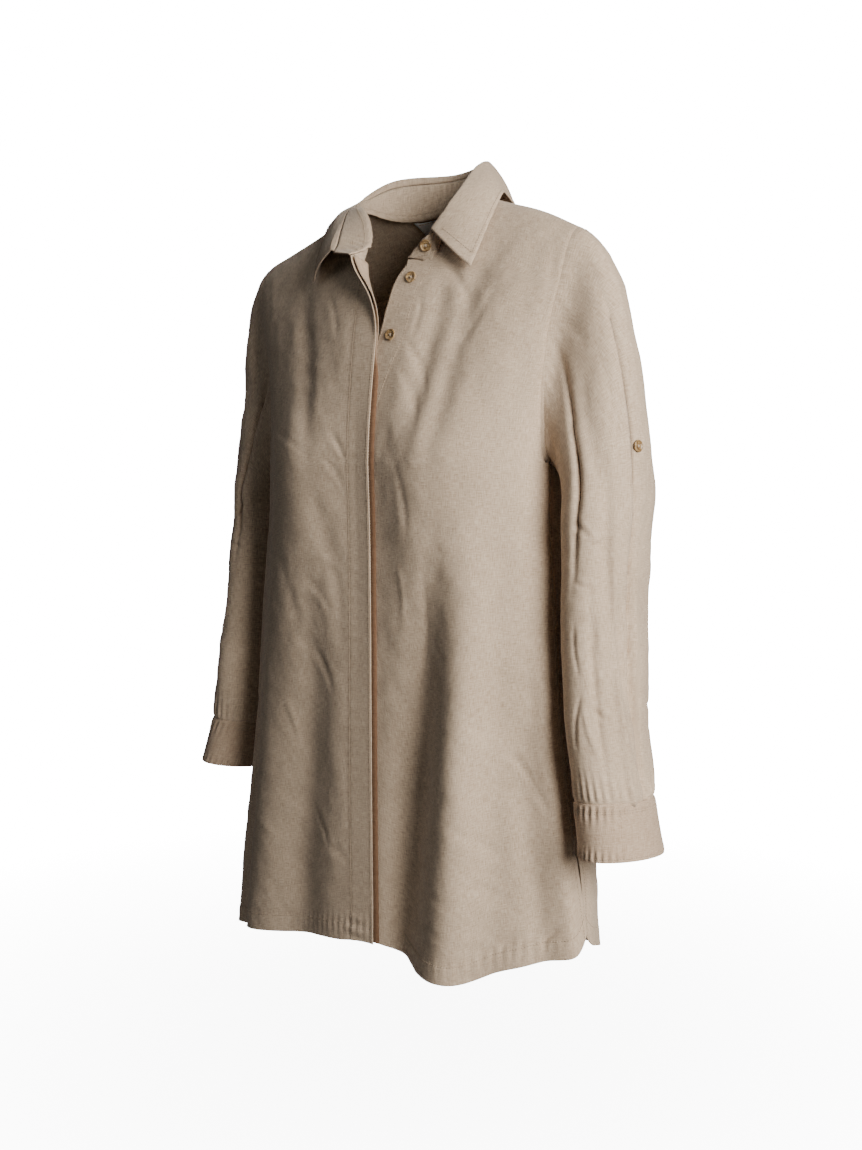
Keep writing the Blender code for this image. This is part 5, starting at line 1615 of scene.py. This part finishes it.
def yoke(looks):
    points, normals = yoke_cloth(FINE)
    low = run_along(points)
    top = low[-1] - low
    side = nearer_end(run_across(points))
    free = ease(low / 0.012) * ease(top / 0.012) * ease(side / 0.012)
    creases = small_creases(101, 26, (-0.17, 0.15), (-0.05, 0.03), 80)
    push = free * (crease_push(creases, points[..., 0], points[..., 2]) * 0.7)
    push = push + groove(low - 0.0032, 0.0014, 0.0003)
    push = push + pucker(points[..., 0], low - 0.002, 102, 0.009, 0.006, 0.0003)
    hold = 1 - np.minimum(np.minimum(ease(top / 0.003), ease(low / 0.002)), ease(side / 0.003))
    grid, facing = moved(points, normals, push, hold)
    line = row_line(grid, facing, low, 0.0024)
    inner = row_line(grid, facing, low, 0.0050)
    seam = row_line(grid, facing, low[-1] - top, 0.0042)
    lines = [line, inside_of(seam, SHEET), inside_of(inner, SHEET)]
    finish_cloth("yoke_linen", "yoke", grid, facing, looks, [(lines, {})])
    return points, normals


def sleeve(side, looks, word):
    points, normals, degrees, seam_normals, seam_away = sleeve_cloth(side, SLEEVE_FINE, 34, 140)
    z = points[..., 2]
    low = run_along(points)
    top = low[-1] - low
    turn = np.broadcast_to(degrees, z.shape)
    rows = SLEEVE_CREASES if side > 0 else FAR_SLEEVE_CREASES
    creases = [dict(row, x1=row["d1"] * SLEEVE_ARC, x2=row["d2"] * SLEEVE_ARC) for row in rows]
    creases += small_creases(111 + side, 60, (0.0, 360 * SLEEVE_ARC), (-0.58, -0.14), 20)
    total = sum(crease_push(creases, (turn + shift) * SLEEVE_ARC, z) for shift in (-360, 0, 360))
    waves = slow_waves(113 + side, np.sin(np.radians(turn)) * 0.05, z, 0.0008)
    inner = ease((-np.cos(np.radians(turn)) - 0.3) / 0.5)
    tab = np.hypot((turn - TAB_BUTTON["degrees"]) * SLEEVE_ARC, z - TAB_BUTTON["z"])
    flat_tab = 0.1 + 0.9 * ease((tab - 0.007) / 0.012)
    free = ease(top / 0.014) * (1 - 0.6 * inner) * flat_tab * ease(low / 0.010)
    dimples = rumple(119 + side, np.sin(np.radians(turn)) * 0.05 + turn * SLEEVE_ARC * 0.5, z, 0.07)
    push = free * (PANEL_CREASES * total + waves + dimples)
    push = push + pucker(turn * SLEEVE_ARC, low, 115 + side, 0.0092, 0.022, 0.0013) * ease(low / 0.005)
    drawn_up = pucker(turn * SLEEVE_ARC, top, 117 + side, 0.011, 0.012, 0.0005)
    push = push + drawn_up * ease(top / 0.004) * (1 - inner)
    push = push + groove(top, 0.0018, 0.0005) + groove(low, 0.0016, 0.0005)
    around = (turn + 180) % 360 - 180
    outside = np.exp(-(((around - 18) / 62) ** 2))
    push = push + OUTER_FULLNESS * outside * ease(top / 0.06) * ease((z + 0.44) / 0.22)
    hold = 1 - ease(top / 0.004)
    grid, facing = moved(points, normals, push, hold, True)
    tucked = points[-1] - seam_away * 0.0045 - seam_normals * 0.0015
    into = points[0] - unit(points[1] - points[0]) * 0.0045 - unit(normals[0]) * 0.0024
    grid = np.concatenate([into[None], grid, tucked[None]])
    facing = np.concatenate([facing[:1], facing, seam_normals[None]])
    cloth_parts.append((grid, facing))
    finish_cloth("sleeve_%s_linen" % word, "sleeve_" + word, grid, facing, looks, around=True)


def cuff(side, looks, word):
    points, normals = cuff_cloth(side, 210, np.unique([*np.linspace(0, 1, 22), *CUFF_ROWS]))
    low = run_along(points)
    top = low[-1] - low
    along = run_across(points)
    ends = nearer_end(along)
    quiet = ease(ends / 0.006)
    push = quiet * pucker(along, low - 0.004, 121 + side, 0.0064, 0.0060, 0.0010) * ease(low / 0.002)
    push = push + quiet * pucker(along, top - 0.0075, 123 + side, 0.0070, 0.0080, 0.0011) * ease(top / 0.003)
    for away in (low - 0.003, *(top - stitch for stitch in CUFF_STITCHES)):
        push = push + groove(away, 0.0011, 0.0003)
    push = push + quiet * slow_waves(125 + side, along * 0.5, points[..., 2], 0.0003)
    push = push + groove(np.minimum(low, top), 0.0009, 0.0003)
    grid, facing = moved(points, normals, push, 1 - ease(np.minimum(top, low) / 0.001))
    cloth_parts.append((grid, facing))
    lines = [row_line(grid, facing, low, 0.0030, 0.01, 0.99)]
    for away in CUFF_STITCHES:
        lines.append(row_line(grid, facing, low, float(low[-1].mean()) - away, 0.01, 0.99))
    for edge in (1, -1):
        lines.append(level_line(grid, facing, ends, 0.0026, 0.05, 0.95, edge))
    finish_cloth("cuff_%s_linen" % word, "cuff_" + word, grid, facing, looks, [(lines, {})],
                 thick=CUFF_SHEET)


def underlay(right, away, looks):
    """The buttonhole strip of the concealed closure, inside the right front's edge."""
    points, normals = right
    drop = CLOTH + FLY_BUTTON_ROOM
    share = neck_row(-1) / (len(points) - 1)
    columns = [level_line(points, normals, away, at, 0, share, -1) for at in np.linspace(0.0225, 0.0015, 14)]
    line = np.stack([c[0] for c in columns], axis=1)
    across = np.stack([c[1] for c in columns], axis=1)
    near = drop * (1 - 0.1 * ease((line[:, -1:, 2] - V_BOTTOM_Z + 0.02) / 0.05))
    grid = line - across * near[..., None]
    # Below the V the strip's edge shows past the right front as a lip, painted dark as shade by its material
    out = 0.0046 * ease((V_BOTTOM_Z - 0.004 - line[:, -1:, 2]) / 0.03)[..., None]
    lip = grid[:, -1:] + unit(grid[:, -1:] - grid[:, -2:-1]) * (out + 0.0004) - across[:, -1:] * 0.0004
    grid, across = np.concatenate([grid, lip], axis=1), np.concatenate([across, across[:, -1:]], axis=1)
    edge = run_across(grid)
    push = pucker(grid[..., 2], edge[:, -1:] - edge - 0.003, 131, 0.012, 0.006, 0.0003)
    grid, facing = moved(grid, across, push, np.zeros(push.shape))
    lines = [level_line(grid, facing, edge, 0.0195, 0.01, 0.99, 1)]
    finish_cloth("fly_underlay_linen", "fly_underlay", grid, facing, looks, [(lines, {})])


def stand(flat, looks):
    """The collar's stand, with its seam and its buttonhole."""
    points, normals = flat
    low = run_along(points)
    along = run_across(points)
    ends = nearer_end(along)
    push = pucker(along, low - 0.005, 141, 0.0075, 0.009, 0.0007) * ease(low / 0.002)
    top = low[-1] - low
    push = push + pucker(along, top - 0.004, 142, 0.0070, 0.006, 0.0006) * ease(top / 0.003)
    grid, facing = moved(points, normals, push, 1 - ease(low / 0.002))
    base = row_line(grid, facing, low, 0.0020, 0.01, 0.99)
    hole, hole_normal = grid_point(grid, facing, HOLE_ROW, HOLE_PLACE)
    near_hole = grid_point(grid, facing, HOLE_ROW, HOLE_PLACE + 8)[0]
    ahead = unit(near_hole - hole)
    wide = unit(np.cross(hole_normal, ahead))
    ring = np.array([hole + ahead * HOLE_HALF * math.cos(a) + wide * HOLE_WIDE * math.sin(a)
                     for a in np.linspace(0, 2 * math.pi, 49)])
    eye = ring, np.repeat(hole_normal[None], 49, axis=0)
    tight = dict(pitch=0.0008, length=0.0011, thick=0.0003)
    seams = [([base, inside_of(base, COLLAR_SHEET)], {}), ([eye, inside_of(eye, COLLAR_SHEET)], tight)]
    into = grid[0] - unit(grid[1] - grid[0]) * (0.0055 * ease(ends[0] / 0.03))[:, None]
    grid, facing = np.concatenate([into[None], grid]), np.concatenate([facing[:1], facing])
    finish_cloth("collar_stand_linen", "collar_stand", grid, facing, looks, seams, COLLAR_SHEET)


def fall(flat, looks):
    """The collar's fall, with the stitching round its edge."""
    points, normals = flat
    low = run_along(points)
    edge = low[-1] - low
    along = run_across(points)
    ends = nearer_end(along)
    rim = np.minimum(edge, ends)
    leaf = ease((low - 0.012) / 0.006)
    creases = small_creases(151, 26, (-0.13, 0.15), (-0.12, 0.03), 70, 0.0006)
    x, z = points[..., 0], points[..., 2]
    push = leaf * ease(rim / 0.010) * (crease_push(creases, x, z) + slow_waves(152, x, z, 0.0005))
    push = push + leaf * (groove(rim - COLLAR_STITCH, 0.0012, 0.0003) + band(rim, COLLAR_STITCH, 0.0002))
    push = push + leaf * pucker(along, edge - 0.005, 153, 0.0098, 0.006, 0.0003) * ease(edge / 0.002)
    push = push - ease((0.008 - low) / 0.006) * 0.0002
    push = push + pucker(along, low, 154, 0.008, 0.006, 0.0003) * ease(low / 0.002)
    grid, facing = moved(points, normals, push, 1 - ease(low / 0.002))
    place = float(np.interp(COLLAR_STITCH, ends[-1, :40], np.arange(40))) / (ends.shape[1] - 1)
    middle = edge[::-1, edge.shape[1] // 2]
    rise = float(np.interp(COLLAR_STITCH, middle, np.arange(len(edge)))) / (len(edge) - 1)
    out = [grid_line(grid, facing, (1 - rise) * (len(grid) - 1), True, place, 1 - place, 260)]
    for at in (place, 1 - place):
        out.append(grid_line(grid, facing, at * (grid.shape[1] - 1), False, 0.45, 1 - rise, 60))
    seam = grid_line(grid, facing, 1.2, True, 0.0, 1.0, 260)
    seams = [(out, {}), ([inside_of(seam, COLLAR_SHEET)], {})]
    finish_cloth("collar_fall_linen", "collar_fall", grid, facing, looks, seams, COLLAR_SHEET)


def collar(left, right, yoke_parts, looks):
    """The stand along the neckline and the fall turned down from it."""
    near = search_tree([left, right, yoke_parts])
    frame = collar_frame(neckline(left, right, yoke_parts, FINE), near)
    flat_stand = stand_cloth(frame, near)
    stand(flat_stand, looks)
    fall(fall_cloth(frame, near, flat_stand), looks)


def label(tape, thread):
    """The blank woven neck label, hung inside the back, sewn along its top."""
    rows = []
    for share in np.linspace(1, 0, 14):
        half = LABEL_HALF_LOW + (LABEL_HALF_TOP - LABEL_HALF_LOW) * (1 - share)
        xs = np.linspace(half, -half, 61)
        levels = np.array([back_neck_level(x) for x in xs]) - LABEL_START - LABEL_TURN * share
        turns = np.array([math.pi - turn_at(x, level) for x, level in zip(xs, levels)])
        normals = surface_normals(body_surface, turns, levels)
        rows.append(body_surface(turns, levels) - normals * (CLOTH + 2 * SEAM + 0.0015 * share))
    grid = np.array(rows)
    facing = grid_normals(grid, False)
    made, area = thin_shell("neck_label_tape", grid, facing, tape, LABEL_SHEET)
    low = run_along(grid)
    top = row_line(grid, facing, low, float(low[-1].mean()) - 0.0015, 0.02, 0.98)
    sewn = stitches("neck_label_stitches", [inside_of(top, LABEL_SHEET)], thread)
    for piece in (made, sewn):
        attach(piece, "root")
    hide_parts("neck_label")
    wide, long = float(run_across(grid)[:, -1].max()), float(low[-1].max())


def button_seat(node):
    """A packed button's back centre, the way it faces and its radius."""
    spots = np.array([tuple(node.matrix_world @ v.co) for v in node.data.vertices])
    spots = np.unique(np.round(spots, 6), axis=0)
    middle = spots.mean(axis=0)
    normal = np.linalg.svd(spots - middle)[2][2]
    high = (spots - middle) @ normal
    if abs(high.max()) > abs(high.min()):
        normal, high = -normal, -high
    radius = np.linalg.norm((spots - middle) - high[:, None] * normal, axis=1).max()
    return middle + normal * high.min(), normal, float(radius)


def buttons(frame, horn, thread):
    """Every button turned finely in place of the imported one, with its crossed threads."""
    frames = []
    tree, surface, facing = search_tree(cloth_parts)
    for name in sorted(n for n in frame["nodes"] if n.startswith("button_")):
        centre, normal, radius = button_seat(bpy.data.objects[name])
        if "tab" in name or "cuff" in name or "front" in name:
            over = [surface[k] - centre for _, k, apart in tree.find_n(centre, 500)
                    if apart < 0.020 and facing[k] @ normal > 0.3]
            over = sorted((float(np.linalg.norm(spot - (spot @ normal) * normal)), float(spot @ normal))
                          for spot in over)
            centre = centre + normal * (max(high for _, high in over[:5]) + 0.0003)
        made, spots = turned_button(name + "_turned", centre, normal, horn, radius)
        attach(made, "root")
        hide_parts(name)
        frames.append(spots)
    sewn = button_thread("button_threads", frames, thread)
    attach(sewn, "root")


# The camera: degrees round from the front and down, distance, shift to its right and height, and its lens
CAMERA = dict(turn=37.8, nod=4.3, far=1.34, aside=0.0174, z=-0.275, lens=40.98)


def place_camera():
    """The photo's view: from the wearer's left front, a little above the chest."""
    data = bpy.data.cameras.new("photo_camera")
    data.sensor_fit, data.sensor_height, data.lens = "VERTICAL", 36.0, CAMERA["lens"]
    camera = bpy.data.objects.new("photo_camera", data)
    turn, nod = math.radians(CAMERA["turn"]), math.radians(CAMERA["nod"])
    far, aside = CAMERA["far"], CAMERA["aside"]
    camera.location = (math.sin(turn) * far + math.cos(turn) * aside,
                       math.sin(turn) * aside - math.cos(turn) * far, CAMERA["z"])
    look = Vector((-math.sin(turn) * math.cos(nod), math.cos(turn) * math.cos(nod), -math.sin(nod)))
    camera.rotation_euler = look.to_track_quat("-Z", "Y").to_euler()
    bpy.context.scene.collection.objects.link(camera)
    bpy.context.scene.camera = camera


def area_light(name, place, target, size, power, colour):
    data = bpy.data.lights.new(name, "AREA")
    data.shape, data.size, data.energy, data.color = "DISK", size, power, colour
    lamp = bpy.data.objects.new(name, data)
    lamp.location = place
    lamp.rotation_euler = (Vector(target) - Vector(place)).to_track_quat("-Z", "Y").to_euler()
    bpy.context.scene.collection.objects.link(lamp)


# The lamps: name, place, what each points at, size, power and colour
LAMPS = (
    ("key", (1.92, -0.56, 0.22), (0, 0, -0.20), 1.3, 84.0, (1.0, 0.965, 0.92)),
    ("fill", (-0.80, -1.45, 1.45), (0, 0, -0.3), 1.3, 5.6, (0.97, 0.98, 1.0)),
    ("back_fill", (-1.3, 1.9, 0.3), (0, 0, -0.3), 1.6, 17.0, (1.0, 1.0, 1.0)),
)


def place_lights():
    """White surroundings for the camera, a soft key light from the wearer's left and two weaker ones."""
    world = bpy.data.worlds.new("studio")
    bpy.context.scene.world = world
    world.use_nodes = True
    tree = world.node_tree
    sky = tree.nodes["Background"]
    sky.inputs["Color"].default_value = (0.96, 0.98, 1.0, 1)
    sky.inputs["Strength"].default_value = 0.03
    white = new_node(tree, "Background", {"Strength": WHITE})
    seen = new_node(tree, "MixShader")
    tree.links.new(camera_ray(tree), seen.inputs["Fac"])
    tree.links.new(sky.outputs["Background"], seen.inputs[1])
    tree.links.new(white.outputs["Background"], seen.inputs[2])
    tree.links.new(seen.outputs["Shader"], tree.nodes["World Output"].inputs["Surface"])
    for lamp in LAMPS:
        area_light(*lamp)


def place_floor():
    """A pale floor that fades into the white surroundings."""
    made = bpy.data.meshes.new("floor")
    corners = [(FLOOR_REACH * math.cos(a), FLOOR_REACH * math.sin(a), FLOOR_Z)
               for a in np.linspace(0, 2 * math.pi, 97)[:-1]]
    made.from_pydata(corners, [], [tuple(range(96))])
    floor = bpy.data.objects.new("floor", made)
    bpy.context.scene.collection.objects.link(floor)
    looks, tree, core = shader("pale_floor", 0.9)
    core.inputs["Base Color"].default_value = (0.45, 0.45, 0.45, 1)
    core.inputs["Specular IOR Level"].default_value = 0.1
    glow = new_node(tree, "Emission")
    tree.links.new(maths(tree, "MULTIPLY", camera_ray(tree), WHITE), glow.inputs["Strength"])
    far = new_node(tree, "VectorMath")
    far.operation = "LENGTH"
    tree.links.new(object_place(tree), far.inputs[0])
    span = new_node(tree, "MapRange", {"From Min": 0.55, "From Max": 1.5, "To Min": 0.12})
    tree.links.new(far.outputs["Value"], span.inputs["Value"])
    both = new_node(tree, "MixShader")
    tree.links.new(span.outputs["Result"], both.inputs["Fac"])
    tree.links.new(core.outputs["BSDF"], both.inputs[1])
    tree.links.new(glow.outputs["Emission"], both.inputs[2])
    tree.links.new(both.outputs["Shader"], tree.nodes["Material Output"].inputs["Surface"])
    made.materials.append(looks)


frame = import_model()

linen = linen_cloth("linen_cloth")
# Painted shade: the cuffs' cloth is darker, for the light that falls off towards the sleeves' lower ends
cuff_linen_painted_shade = linen_cloth("linen_bands_painted_shade", (0.90, 0.865, 0.85))
# Painted shade: the underlay's cloth is darker overall, and much darker below the V where it lies under the
# right front's edge
under_linen_painted_shade = linen_cloth("linen_underlay_painted_shade", (0.90, 0.86, 0.83), painted_shade_below=(V_BOTTOM_Z, (0.40, 0.30, 0.24)))
thread = plain_threads("linen_thread", (0.52, 0.41, 0.30), 0.75)
tape = plain_threads("woven_tape", (0.70, 0.68, 0.65), 0.8)
horn = button_horn("brown_horn")
looks = (linen, thread)

left = front(1, looks, "left")[0]
right, right_away = front(-1, looks, "right")
back(looks)
yoke_parts = yoke(looks)
for side, word in ((1, "left"), (-1, "right")):
    sleeve(side, looks, word)
    cuff(side, (cuff_linen_painted_shade, thread), word)
underlay(right, right_away, (under_linen_painted_shade, thread))
collar(left, right, yoke_parts, looks)
label(tape, thread)
buttons(frame, horn, thread)

place_camera()
place_lights()
place_floor()
